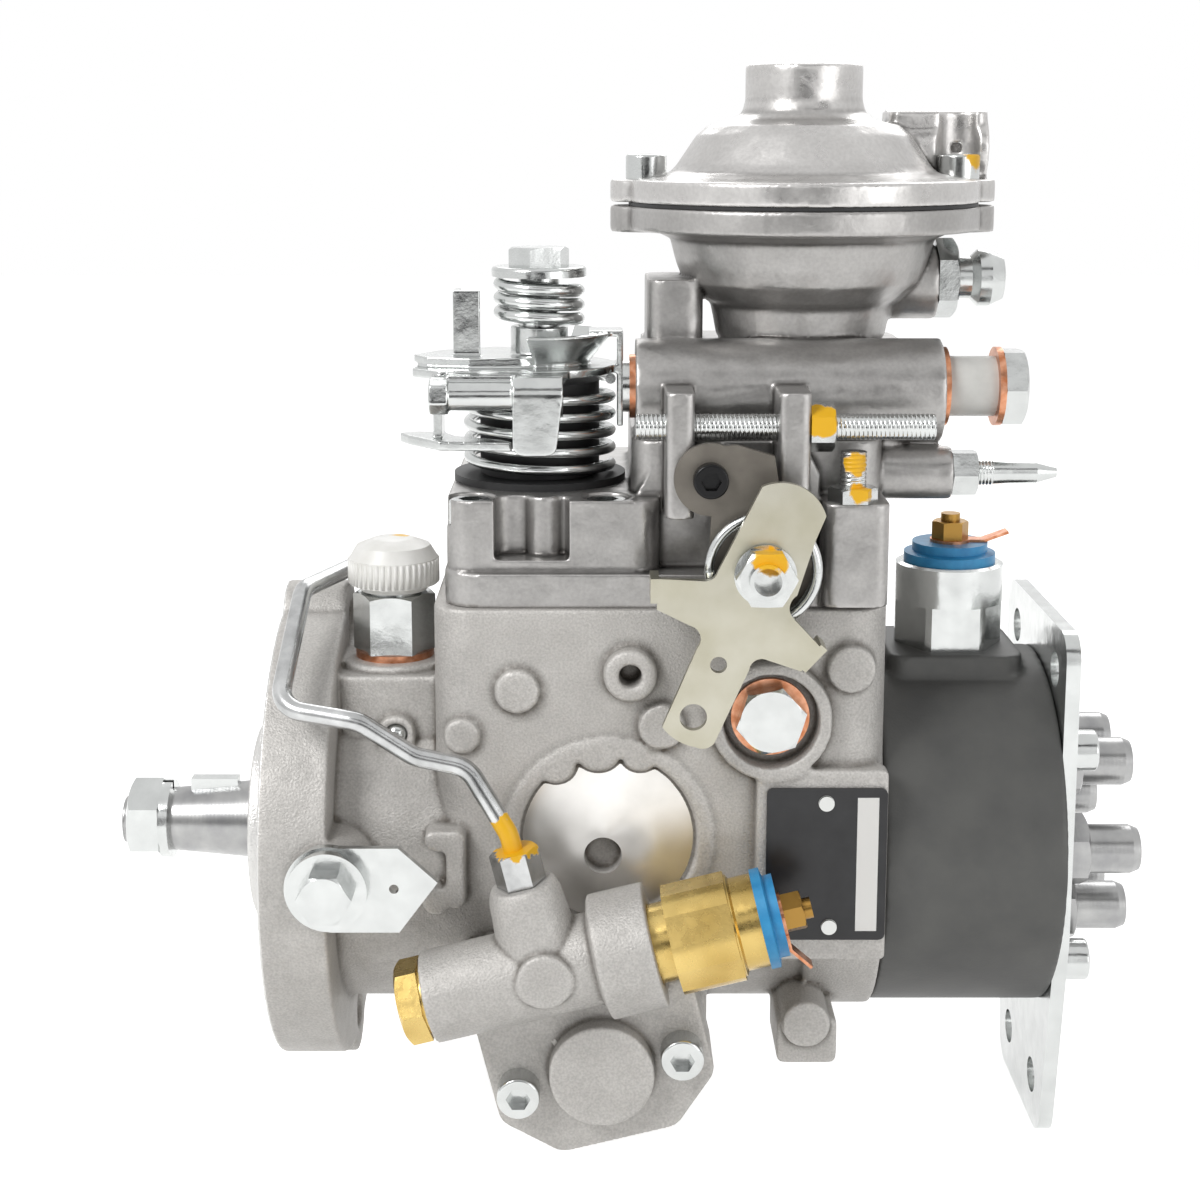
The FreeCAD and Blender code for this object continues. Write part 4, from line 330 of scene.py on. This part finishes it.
def cream_zinc():
    # Zinc plated sheet with a yellowish passivation that dries to a satin cream.
    mat, tree, shader, place = started("cream_zinc", "#BCB8A8", 0.8, 0.3)
    cloudy(tree, shader, place, "#B3AF9C", "#C4C1B3", 12.0)
    grained(tree, shader, place, 0.5, 0.015)
    uneven(tree, shader, place, 14.0, 0.25)
    return mat


def gold_chromate():
    # Yellow chromated zinc: gold that drifts to olive and rose.
    mat, tree, shader, place = started("gold_chromate", "#C2A35A", 1.0, 0.26)
    cloudy(tree, shader, place, "#B79A58", "#DDC27C", 16.0, 2.0)
    worn_gloss(tree, shader, place, 3.0, 0.2, 0.34)
    grained(tree, shader, place, 0.9, 0.02)
    return mat


def phosphated_steel(name="phosphated_steel", dark="#4C4843", light="#66605A"):
    # Phosphated sheet steel: brown-grey, matt.
    mat, tree, shader, place = started(name, dark, 0.6, 0.5)
    cloudy(tree, shader, place, dark, light, 8.0)
    grained(tree, shader, place, 0.4, 0.02)
    return mat


def lock_plate_finish():
    # Phosphated plate; its countersunk screw is black from the oil.
    mat = phosphated_steel("phosphated_lock_plate", "#6B665F", "#7F7A72")
    tree, shader, place = opened(mat)
    overlay(tree, shader, near(tree, place, LOCK_SCREW_AT, 4.5, 0.05), "#151516", 0.5, 0.3)
    return mat


def ground_steel():
    # Ground and hardened steel, lightly oiled.
    mat, tree, shader, place = started("ground_steel", "#A4A4A4", 1.0, 0.28)
    cloudy(tree, shader, place, "#959596", "#B0B0AF", 6.0)
    turned_marks(tree, shader, place, 0.5, 0.006, "X")
    return mat


def spring_wire():
    # Drawn spring wire, dark from its heat treatment.
    mat, tree, shader, place = started("spring_wire", "#6E6C69", 1.0, 0.34)
    cloudy(tree, shader, place, "#5E5C5A", "#7C7A76", 3.0)
    grained(tree, shader, place, 0.3, 0.01)
    return mat


def annealed_copper():
    # Annealed copper sealing rings, slightly tarnished.
    mat, tree, shader, place = started("annealed_copper", "#C98A66", 1.0, 0.3)
    cloudy(tree, shader, place, "#B5704A", "#DDA586", 2.0)
    grained(tree, shader, place, 0.5, 0.02)
    return mat


def sintered_bronze():
    # Sintered bearing bronze.
    mat, tree, shader, place = started("sintered_bronze", "#A88A55", 1.0, 0.4)
    cloudy(tree, shader, place, "#97794A", "#B79A64", 3.0)
    grained(tree, shader, place, 0.3, 0.02)
    return mat


def black_rubber():
    # Moulded rubber: black, slightly dusty in patches.
    mat, tree, shader, place = started("black_rubber", "#1B1B1C", 0.0, 0.55)
    cloudy(tree, shader, place, "#161617", "#242425", 4.0)
    grained(tree, shader, place, 0.5, 0.02)
    return mat


def milky_polythene():
    # Translucent polythene sleeve.
    mat, tree, shader, place = started("milky_polythene", "#D8D8D4", 0.0, 0.35)
    cloudy(tree, shader, place, "#CFCFCB", "#E0E0DC", 5.0)
    shader.inputs["Transmission Weight"].default_value = 0.1
    grained(tree, shader, place, 1.2, 0.02)
    return mat


def white_nylon():
    # Moulded nylon cap with a dab of yellow paint on top.
    mat, tree, shader, place = started("white_nylon", "#EDECE8", 0.0, 0.38)
    cloudy(tree, shader, place, "#E6E5E0", "#F2F1EE", 5.0)
    grained(tree, shader, place, 0.7, 0.01)
    overlay(tree, shader, near(tree, place, CAP_PAINT_AT, 3.2, 0.3, 1.2), "#F2BE1E", 0.0, 0.4)
    return mat


def blue_seal():
    # Blue silicone seal; the nut and stud above it are yellow chromated brass.
    mat, tree, shader, place = started("blue_seal", "#2F8FC6", 0.0, 0.4)
    cloudy(tree, shader, place, "#2784BB", "#3E9CD0", 4.0)
    grained(tree, shader, place, 0.6, 0.015)
    x, y, z = SOLENOID_AT
    overlay(tree, shader, beyond(tree, place, (x, y, z + SOLENOID_TERMINAL), (0, 0, 1)), "#A07C40", 1.0, 0.3)
    axis = (math.cos(COLD_TILT), 0, math.sin(COLD_TILT))
    end = [COLD_AT[i] + axis[i] * COLD_TERMINAL for i in range(3)]
    cold = both(tree, beyond(tree, place, end, axis), beyond(tree, place, (0, -40, 0), (0, -1, 0)))
    overlay(tree, shader, cold, "#A07C40", 1.0, 0.3)
    return mat


def enamelled_plate():
    # Black enamelled plate with a bare white strip; its rivets are bright.
    mat, tree, shader, place = started("enamelled_plate", "#1F1F21", 0.1, 0.3)
    cloudy(tree, shader, place, "#1A1A1C", "#262628", 6.0)
    strip = beyond(tree, place, (STRIP_X[0], 0, 0), (1, 0, 0))
    for point, direction in (((STRIP_X[1], 0, 0), (-1, 0, 0)), ((0, 0, STRIP_Z[0]), (0, 0, 1)),
                             ((0, 0, STRIP_Z[1]), (0, 0, -1))):
        strip = both(tree, strip, beyond(tree, place, point, direction))
    overlay(tree, shader, strip, "#E4E3E0", 0.0, 0.4)
    for x, z in NAMEPLATE_RIVETS:
        overlay(tree, shader, near(tree, place, (x, NAMEPLATE_Y - 0.6, z), 1.95, 0.05), "#C9CAC8", 1.0, 0.3)
    return mat


def drawn_tube():
    # Drawn steel tube, zinc plated, with a bright narrow highlight along it.
    mat, tree, shader, place = started("drawn_tube", "#BFC0C0", 1.0, 0.24)
    cloudy(tree, shader, place, "#A9AAAA", "#CFD0D0", 6.0)
    grained(tree, shader, place, 0.8, 0.012)
    paint = near(tree, place, PIPE_NUT_PAINT_AT, 6.0, 0.3, 2.6)
    overlay(tree, shader, paint, "#EDB61A", 0.0, 0.4)
    return mat


def marked_zinc(name, spots):
    """Bright zinc with dabs of yellow paint; spots are (centre, radius) in millimetres."""
    mat = bright_zinc(name)
    tree, shader, place = opened(mat)
    for centre, radius in spots:
        overlay(tree, shader, near(tree, place, centre, radius, 0.3, 1.5), "#F0B81C", 0.0, 0.42)
    return mat


def dressed(materials):
    """Puts each finish on its CAD node."""
    for node, mat in materials.items():
        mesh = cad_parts[node].data
        mesh.materials.clear()
        mesh.materials.append(mat)


# Pieces

def link_mesh(name, mesh, mat):
    """A smooth-shaded piece with one finish."""
    piece = bpy.data.objects.new(name, mesh)
    bpy.context.scene.collection.objects.link(piece)
    mesh.materials.clear()
    mesh.materials.append(mat)
    for face in mesh.polygons:
        face.use_smooth = True
    return piece


def baked_copy(piece):
    """The mesh that a piece's modifiers make; the modifiers stay."""
    evaluated = piece.evaluated_get(bpy.context.evaluated_depsgraph_get())
    return bpy.data.meshes.new_from_object(evaluated)


def baked(piece):
    """The mesh that a piece's modifiers make; the modifiers are removed."""
    mesh = baked_copy(piece)
    piece.modifiers.clear()
    return mesh


def cast_skin(node, mat, voxel_mm, rounds, limit=150000, body=ROOT):
    """The body of a CAD node with its edges and corners rounded as a mould or a press leaves them."""
    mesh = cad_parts[node].data.copy()
    shell = bmesh.new()
    shell.from_mesh(mesh)
    bmesh.ops.remove_doubles(shell, verts=shell.verts, dist=0.002 * MM)
    shell.to_mesh(mesh)
    shell.free()
    rough = bpy.data.objects.new(node + "_rough", mesh)
    bpy.context.scene.collection.objects.link(rough)
    remesh = rough.modifiers.new("skin", "REMESH")
    remesh.mode = "VOXEL"
    remesh.voxel_size = voxel_mm * MM
    soften = rough.modifiers.new("soften", "SMOOTH")
    soften.factor = 0.5
    soften.iterations = rounds
    count = len(baked_copy(rough).polygons) * 2
    if count > limit:
        thin = rough.modifiers.new("thin", "DECIMATE")
        thin.ratio = limit / count
    skin = baked(rough)
    bpy.data.objects.remove(rough)
    piece = link_mesh(node + "_skin", skin, mat)
    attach(piece, body)
    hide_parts(node)
    return piece


def grown(name, tree, inputs):
    """Runs a Geometry Nodes tree with named inputs and gives its mesh."""
    holder = bpy.data.objects.new(name + "_maker", bpy.data.meshes.new(name + "_maker"))
    bpy.context.scene.collection.objects.link(holder)
    maker = holder.modifiers.new("maker", "NODES")
    maker.node_group = tree
    for item in tree.interface.items_tree:
        if item.item_type == "SOCKET" and item.in_out == "INPUT" and item.name in inputs:
            maker[item.identifier] = inputs[item.name]
    mesh = baked(holder)
    bpy.data.objects.remove(holder)
    return mesh


def started_tree(name, numbers):
    """A Geometry Nodes tree with number inputs, and its input sockets."""
    tree = bpy.data.node_groups.new(name, "GeometryNodeTree")
    tree.interface.new_socket("Geometry", in_out="OUTPUT", socket_type="NodeSocketGeometry")
    for number in numbers:
        tree.interface.new_socket(number, in_out="INPUT", socket_type="NodeSocketFloat")
    tree.interface.new_socket("Finish", in_out="INPUT", socket_type="NodeSocketMaterial")
    return tree, add(tree, "NodeGroupInput").outputs


def finished_tree(tree, geometry, given):
    """Realizes the instances, sets the finish and gives the tree."""
    real = add(tree, "GeometryNodeRealizeInstances", {"Geometry": geometry})
    coat = add(tree, "GeometryNodeSetMaterial", {"Geometry": real.outputs["Geometry"],
                                                 "Material": given["Finish"]})
    add(tree, "NodeGroupOutput", {"Geometry": coat.outputs["Geometry"]})
    return tree


def thread_tree():
    """A helical thread along +Z from the origin: a rolled-up grid whose radius follows the turns."""
    tree, given = started_tree("thread", ["Radius", "Length", "Pitch", "Depth", "Rows"])
    columns = 25

    def maths(operation, a, b=0.0, c=0.0):
        return add(tree, "ShaderNodeMath", {0: a, 1: b, 2: c}, operation=operation).outputs["Value"]

    grid = add(tree, "GeometryNodeMeshGrid", {"Size X": 1.0, "Size Y": 1.0, "Vertices Y": columns})
    tree.links.new(given["Rows"], grid.inputs["Vertices X"])
    position = add(tree, "GeometryNodeInputPosition").outputs["Position"]
    spot = add(tree, "ShaderNodeSeparateXYZ", {"Vector": position})
    step = maths("DIVIDE", 1.0, maths("SUBTRACT", given["Rows"], 3.0))
    stretch = maths("MULTIPLY_ADD", step, 2.0, 1.0)
    raw = maths("MULTIPLY_ADD", spot.outputs["X"], stretch, 0.5)
    inside = maths("COMPARE", raw, 0.5, 0.5001)
    along = maths("MULTIPLY", maths("MINIMUM", maths("MAXIMUM", raw, 0.0), 1.0), given["Length"])
    turn = maths("MULTIPLY", spot.outputs["Y"], 2 * math.pi)
    phase = maths("SUBTRACT", maths("DIVIDE", along, given["Pitch"]), spot.outputs["Y"])
    flank = maths("MULTIPLY", maths("PINGPONG", phase, 0.5), 2.0)
    cut = maths("MULTIPLY", flank, given["Depth"])
    radius = maths("MULTIPLY", maths("SUBTRACT", given["Radius"], cut), inside)
    across = maths("MULTIPLY", radius, maths("COSINE", turn))
    up = maths("MULTIPLY", radius, maths("SINE", turn))
    wrapped = add(tree, "ShaderNodeCombineXYZ", {"X": across, "Y": up, "Z": along})
    rolled = add(tree, "GeometryNodeSetPosition", {"Geometry": grid.outputs["Mesh"],
                                                   "Position": wrapped.outputs["Vector"]})
    closed = add(tree, "GeometryNodeMergeByDistance", {"Geometry": rolled.outputs["Geometry"],
                                                       "Distance": 0.01 * MM})
    return finished_tree(tree, closed.outputs["Geometry"], given)


def stood(mesh, at_mm, along):
    """The mesh moved from the origin and +Z to a place and a direction."""
    turn = Vector((0, 0, 1)).rotation_difference(Vector(along)).to_matrix().to_4x4()
    turn.translation = Vector(millimetres(*at_mm))
    mesh.transform(turn)
    return mesh


def thread(name, tree, mat, at_mm, along, radius_mm, length_mm, pitch_mm, body=ROOT):
    """A thread round a plain CAD shank, with six rows of points to each turn."""
    rows = int(length_mm / pitch_mm * 6) + 3
    mesh = grown(name, tree, {"Radius": radius_mm * MM, "Length": length_mm * MM, "Pitch": pitch_mm * MM,
                              "Depth": pitch_mm * 0.3 * MM, "Rows": rows, "Finish": mat})
    piece = link_mesh(name, outward(stood(mesh, at_mm, along)), mat)
    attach(piece, body)
    return piece


def coil_tree():
    """A round-wire helical spring that stands on the origin along +Z."""
    tree, given = started_tree("coil", ["Radius", "Wire", "Height", "Turns"])
    helix = add(tree, "GeometryNodeCurveSpiral", {"Resolution": 48, "Rotations": given["Turns"],
                                                  "Start Radius": given["Radius"],
                                                  "End Radius": given["Radius"], "Height": given["Height"]})
    wire = add(tree, "GeometryNodeCurvePrimitiveCircle", {"Resolution": 14, "Radius": given["Wire"]})
    drawn = add(tree, "GeometryNodeCurveToMesh", {"Curve": helix.outputs["Curve"],
                                                  "Profile Curve": wire.outputs["Curve"], "Fill Caps": True})
    return finished_tree(tree, drawn.outputs["Mesh"], given)


def coil(name, tree, mat, at_mm, along, sizes_mm, turns, body, node):
    """A spring in place of its plain CAD solid; sizes_mm: coil radius, wire radius and height."""
    radius, wire, height = (v * MM for v in sizes_mm)
    mesh = grown(name, tree, {"Radius": radius, "Wire": wire, "Height": height, "Turns": turns,
                              "Finish": mat})
    piece = link_mesh(name, outward(stood(mesh, at_mm, along)), mat)
    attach(piece, body)
    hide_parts(node)
    return piece


def pressed_coil(name, tree, mat, at_mm, along, sizes_mm, turns, node):
    """A spring on the pump's body, with a mesh of its own."""
    piece = coil(name, tree, mat, at_mm, along, sizes_mm, turns, ROOT, node)
    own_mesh(piece)
    return piece


def outward(mesh):
    """The mesh with doubles merged and its faces turned outwards."""
    shell = bmesh.new()
    shell.from_mesh(mesh)
    bmesh.ops.remove_doubles(shell, verts=shell.verts, dist=0.001 * MM)
    bmesh.ops.recalc_face_normals(shell, faces=shell.faces)
    shell.to_mesh(mesh)
    shell.free()
    return mesh


def rib_tree():
    """Upright half-round ribs set round a circle."""
    tree, given = started_tree("ribs", ["Radius", "Height", "Rib"])
    ring = add(tree, "GeometryNodeMeshCircle", {"Vertices": CAP_RIBS, "Radius": given["Radius"]})
    rib = add(tree, "GeometryNodeMeshCylinder", {"Vertices": 10, "Radius": given["Rib"],
                                                 "Depth": given["Height"]})
    copies = add(tree, "GeometryNodeInstanceOnPoints", {"Points": ring.outputs["Mesh"],
                                                        "Instance": rib.outputs["Mesh"]})
    return finished_tree(tree, copies.outputs["Instances"], given)


def cap_ribs(mat):
    """The grip ribs round the transport cap."""
    mesh = grown("cap_ribs", rib_tree(), {"Radius": (CAP_R - 0.1) * MM, "Height": (CAP_EDGE_H - 0.6) * MM,
                                          "Rib": 0.5 * MM, "Finish": mat})
    mesh.transform(Matrix.Translation(millimetres(CAP_AT[0], CAP_AT[1], CAP_AT[2] + CAP_EDGE_H / 2)))
    piece = link_mesh("cap_ribs", mesh, mat)
    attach(piece, ROOT)
    return piece


def recess_face(mat):
    """Turned face at the bottom of the round recess, with its hole."""
    x, y, z = RECESS_AT
    hx, _, hz = RECESS_HOLE_AT
    front = y - RECESS_FACE_PROUD
    shell = bmesh.new()
    count = 72
    rings = []
    for cx, cz, r in ((x, z, RECESS_R), (hx, hz, RECESS_HOLE_R)):
        ring = []
        for i in range(count):
            a = 2 * math.pi * i / count
            ring.append(shell.verts.new(millimetres(cx + r * math.cos(a), front, cz + r * math.sin(a))))
        rings.append(ring)
    for i in range(count):
        j = (i + 1) % count
        shell.faces.new((rings[0][i], rings[0][j], rings[1][j], rings[1][i]))
    wall = bmesh.ops.extrude_face_region(shell, geom=list(shell.faces))
    moved = [v for v in wall["geom"] if isinstance(v, bmesh.types.BMVert)]
    bmesh.ops.translate(shell, verts=moved, vec=(0, RECESS_FACE_T * MM, 0))
    bmesh.ops.recalc_face_normals(shell, faces=shell.faces)
    mesh = bpy.data.meshes.new("recess_face")
    shell.to_mesh(mesh)
    shell.free()
    piece = link_mesh("recess_face", mesh, mat)
    for face in mesh.polygons:
        face.use_smooth = False
    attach(piece, ROOT)
    return piece


# Studio

def lamp(name, at, size, power, towards=STUDIO_AIM):
    """Square lamp that points at the pump."""
    light = bpy.data.lights.new(name, "AREA")
    light.energy = power
    light.shape = "RECTANGLE"
    light.size, light.size_y = size
    stand = bpy.data.objects.new(name, light)
    stand.location = at
    stand.rotation_euler = (Vector(towards) - Vector(at)).to_track_quat("-Z", "Y").to_euler()
    bpy.context.scene.collection.objects.link(stand)


def shown(tree):
    """1 for what the camera sees directly, mirrored or through something clear, 0 for light on the object."""
    path = add(tree, "ShaderNodeLightPath")
    seen = add(tree, "ShaderNodeMath", {0: path.outputs["Is Camera Ray"], 1: path.outputs["Is Glossy Ray"]},
               operation="MAXIMUM")
    return add(tree, "ShaderNodeMath", {0: seen.outputs["Value"], 1: path.outputs["Is Transmission Ray"]},
               operation="MAXIMUM").outputs["Value"]


def studio():
    """White surround, three soft lamps and dark boards."""
    bpy.context.scene.view_settings.view_transform = "Standard"
    world = bpy.data.worlds.new("studio")
    bpy.context.scene.world = world
    world.use_nodes = True
    tree = world.node_tree
    tree.nodes.clear()
    light = add(tree, "ShaderNodeBackground", {"Color": (1, 1, 1, 1), "Strength": 0.34})
    white = add(tree, "ShaderNodeBackground", {"Color": (1, 1, 1, 1), "Strength": 1.0})
    sky = add(tree, "ShaderNodeMixShader", {0: shown(tree), 1: light.outputs["Background"],
                                            2: white.outputs["Background"]})
    add(tree, "ShaderNodeOutputWorld", {"Surface": sky.outputs["Shader"]})
    lamp("key", (-0.5, -0.6, 0.7), (0.35, 0.35), 6.4)
    lamp("fill", (0.75, -0.7, 0.25), (0.5, 0.5), 2.0)
    lamp("back", (0.25, 0.8, 0.7), (0.9, 0.5), 3.6)
    mat = started("black_flannel", "#1A1A1B", 0.0, 1.0)[0]
    flag("dark_flag_right", (1.0, -1.1, 0.35), (0.5, 1.3), mat)
    flag("dark_flag_left", (-0.5, -1.5, 0.1), (0.3, 0.9), mat)
    flag("dark_flag_above", (0.1, -1.3, 1.25), (1.6, 0.35), mat)
    flag("dark_flag_front", (0.1, -0.8, 0.17), (0.4, 0.24), mat)


def flag(name, at, size, mat, towards=STUDIO_AIM):
    """Dark board that only mirrors see, so that bright metal gets its dark streaks."""
    w, h = size[0] / 2, size[1] / 2
    mesh = bpy.data.meshes.new(name)
    mesh.from_pydata([(-w, -h, 0), (w, -h, 0), (w, h, 0), (-w, h, 0)], [], [(0, 1, 2, 3)])
    mesh.materials.append(mat)
    board = bpy.data.objects.new(name, mesh)
    board.location = at
    board.rotation_euler = (Vector(towards) - Vector(at)).to_track_quat("-Z", "Y").to_euler()
    board.visible_camera = False
    board.visible_diffuse = False
    board.visible_shadow = False
    bpy.context.scene.collection.objects.link(board)


def floor():
    """Pale paper under the pump that keeps a faint shadow and is white to the camera elsewhere."""
    h = FLOOR_HALF
    low = cad_box[0][2] - FLOOR_GAP
    mesh = bpy.data.meshes.new("floor")
    mesh.from_pydata([(-h, -h, low), (h, -h, low), (h, h, low), (-h, h, low)], [], [(0, 1, 2, 3)])
    mat, tree, shader, _ = started("pale_paper", "#E2E2E1", 0.0, 0.9)
    tree.links.new(shown(tree), shader.inputs["Emission Strength"])
    shader.inputs["Emission Color"].default_value = (0.76, 0.76, 0.76, 1)
    piece = bpy.data.objects.new("floor", mesh)
    mesh.materials.append(mat)
    bpy.context.scene.collection.objects.link(piece)


def camera():
    """The photograph's viewpoint."""
    lens = bpy.data.cameras.new("camera")
    lens.lens = 59.4
    lens.sensor_width = 36.0
    lens.shift_y = -0.1
    eye = bpy.data.objects.new("camera", lens)
    eye.location = CAMERA_AT
    eye.rotation_euler = (CAMERA_PITCH, 0, 0)
    bpy.context.scene.collection.objects.link(eye)
    bpy.context.scene.camera = eye


def assemble():
    """Dresses the CAD nodes and adds the scene's own pieces."""
    casting = shot_blasted_casting()
    smooth_casting = die_casting("die_casting", "#ABA9A7", "#B9B7B5", 0.3)
    # Painted light: a lighter copy of the die casting for the boost cap, as the cap on top catches more
    # light; it is also a little glossier.
    lit_casting = die_casting("lit_die_casting", "#C8C6C4", "#D8D6D4", 0.24)
    plain_casting = die_casting("plain_die_casting", "#B4B2B0", "#C2C0BE", 0.34, hollows=False)
    zinc = bright_zinc()
    steel = ground_steel()
    wire = spring_wire()
    rubber = black_rubber()
    white = white_nylon()
    marked_screws = marked_zinc("marked_cap_screws", CAP_SCREW_PAINT)
    marked_adjusters = marked_zinc("marked_adjusters", ADJUSTER_PAINT)
    marked_stop = marked_zinc("marked_stop_nut", STOP_NUT_PAINT)
    dressed({
        "cap_screws": marked_screws, "shaft_bearing": sintered_bronze(), "pump_ring": steel,
        "delivery_valves": steel, "sealing_plugs": zinc, "governor_pins": steel, "throttle_bush": rubber,
        "return_springs": zinc, "adjusting_screws": marked_adjusters, "lock_plate": lock_plate_finish(),
        "hose_barb": zinc, "return_bolt": zinc, "return_sleeve": milky_polythene(),
        "copper_washers": annealed_copper(), "stop_solenoid": zinc, "solenoid_terminals": blue_seal(),
        "inlet_union": zinc, "inlet_cap": white, "nameplate": enamelled_plate(),
        "timing_cover": plain_casting, "cold_start_fittings": gold_chromate(), "fuel_pipe": drawn_tube(),
        "lock_bolt": zinc, "rear_bracket": zinc, "plunger_springs": wire, "timing_spring": wire,
        "boost_spring": wire, "boost_diaphragm": rubber, "drive_shaft": steel, "shaft_nut": zinc,
        "throttle_spring": zinc, "pump_rotor": steel, "governor_drive_gear": steel, "cross_disc": steel,
        "cam_plate": steel, "plunger": steel, "roller_ring": steel, "timing_piston": plain_casting,
        "weight_carrier": steel, "flyweight_1": steel, "flyweight_2": steel, "flyweight_3": steel,
        "flyweight_4": steel, "governor_sleeve": steel, "governor_lever": phosphated_steel(),
        "governor_spring": wire, "control_spool": steel, "throttle_shaft": zinc, "throttle_levers": zinc,
        "stop_shaft": marked_stop, "stop_lever": cream_zinc(), "boost_piston": steel, "feeler_pin": steel,
        "solenoid_armature": steel, "cold_start_needle": steel,
    })
    cast_skin("pump_housing", casting, 0.6, 9, 190000)
    cast_skin("governor_cover", smooth_casting, 0.5, 6, 190000)
    cast_skin("boost_cap", lit_casting, 0.55, 6)
    cast_skin("cold_start_body", casting, 0.45, 8)
    cast_skin("distributor_head", black_cast_iron(), 0.8, 3, 90000)
    cast_skin("throttle_levers", zinc, 0.3, 2, 100000, "throttle")
    spring = coil_tree()
    coil("return_spring_coil", spring, zinc, (THROTTLE_X, THROTTLE_Y, RETURN_SPRING_Z), (0, 0, 1),
                 (17.4, 1.3, 20.8), 5.0, ROOT, "return_springs")
    coil("stop_spring_coil", spring, zinc, STOP_SPRING_AT, (0, -1, 0),
                 (12.2, 1.2, 3.75), 1.5, ROOT, "return_springs")
    coil("throttle_spring_coil", spring, zinc, (THROTTLE_X, THROTTLE_Y, THROTTLE_SPRING_Z), (0, 0, 1),
                 (9.6, 1.55, 8.5), 2.5, "throttle", "throttle_spring")
    pressed_coil("boost_spring_coil", spring, wire, BOOST_SPRING_AT, (0, 0, 1), (11.5, 1.3, 24.0),
                         5.0, "boost_spring")
    pressed_coil("timing_spring_coil", spring, wire, TIMING_SPRING_AT, (0, 1, 0), (5.8, 1.1, 29.0),
                         6.0, "timing_spring")
    recess_face(turned_aluminium())
    cap_ribs(white)
    helix = thread_tree()
    thread("adjusting_rod_thread", helix, marked_adjusters, ROD_AT, (1, 0, 0), 3.1, 68.0, 1.0)
    thread("stop_stud_thread", helix, marked_adjusters, STUD_AT, (0, 0, 1), 3.1, 8.0, 1.0)
    thread("full_load_thread", helix, zinc, FULL_LOAD_AT, (1, 0, 0), 3.1, 10.0, 0.8)
    thread("shaft_thread", helix, steel, SHAFT_END_AT, (1, 0, 0), 6.15, 1.8, 1.5, "drive_train")


assemble()
studio()
floor()
camera()
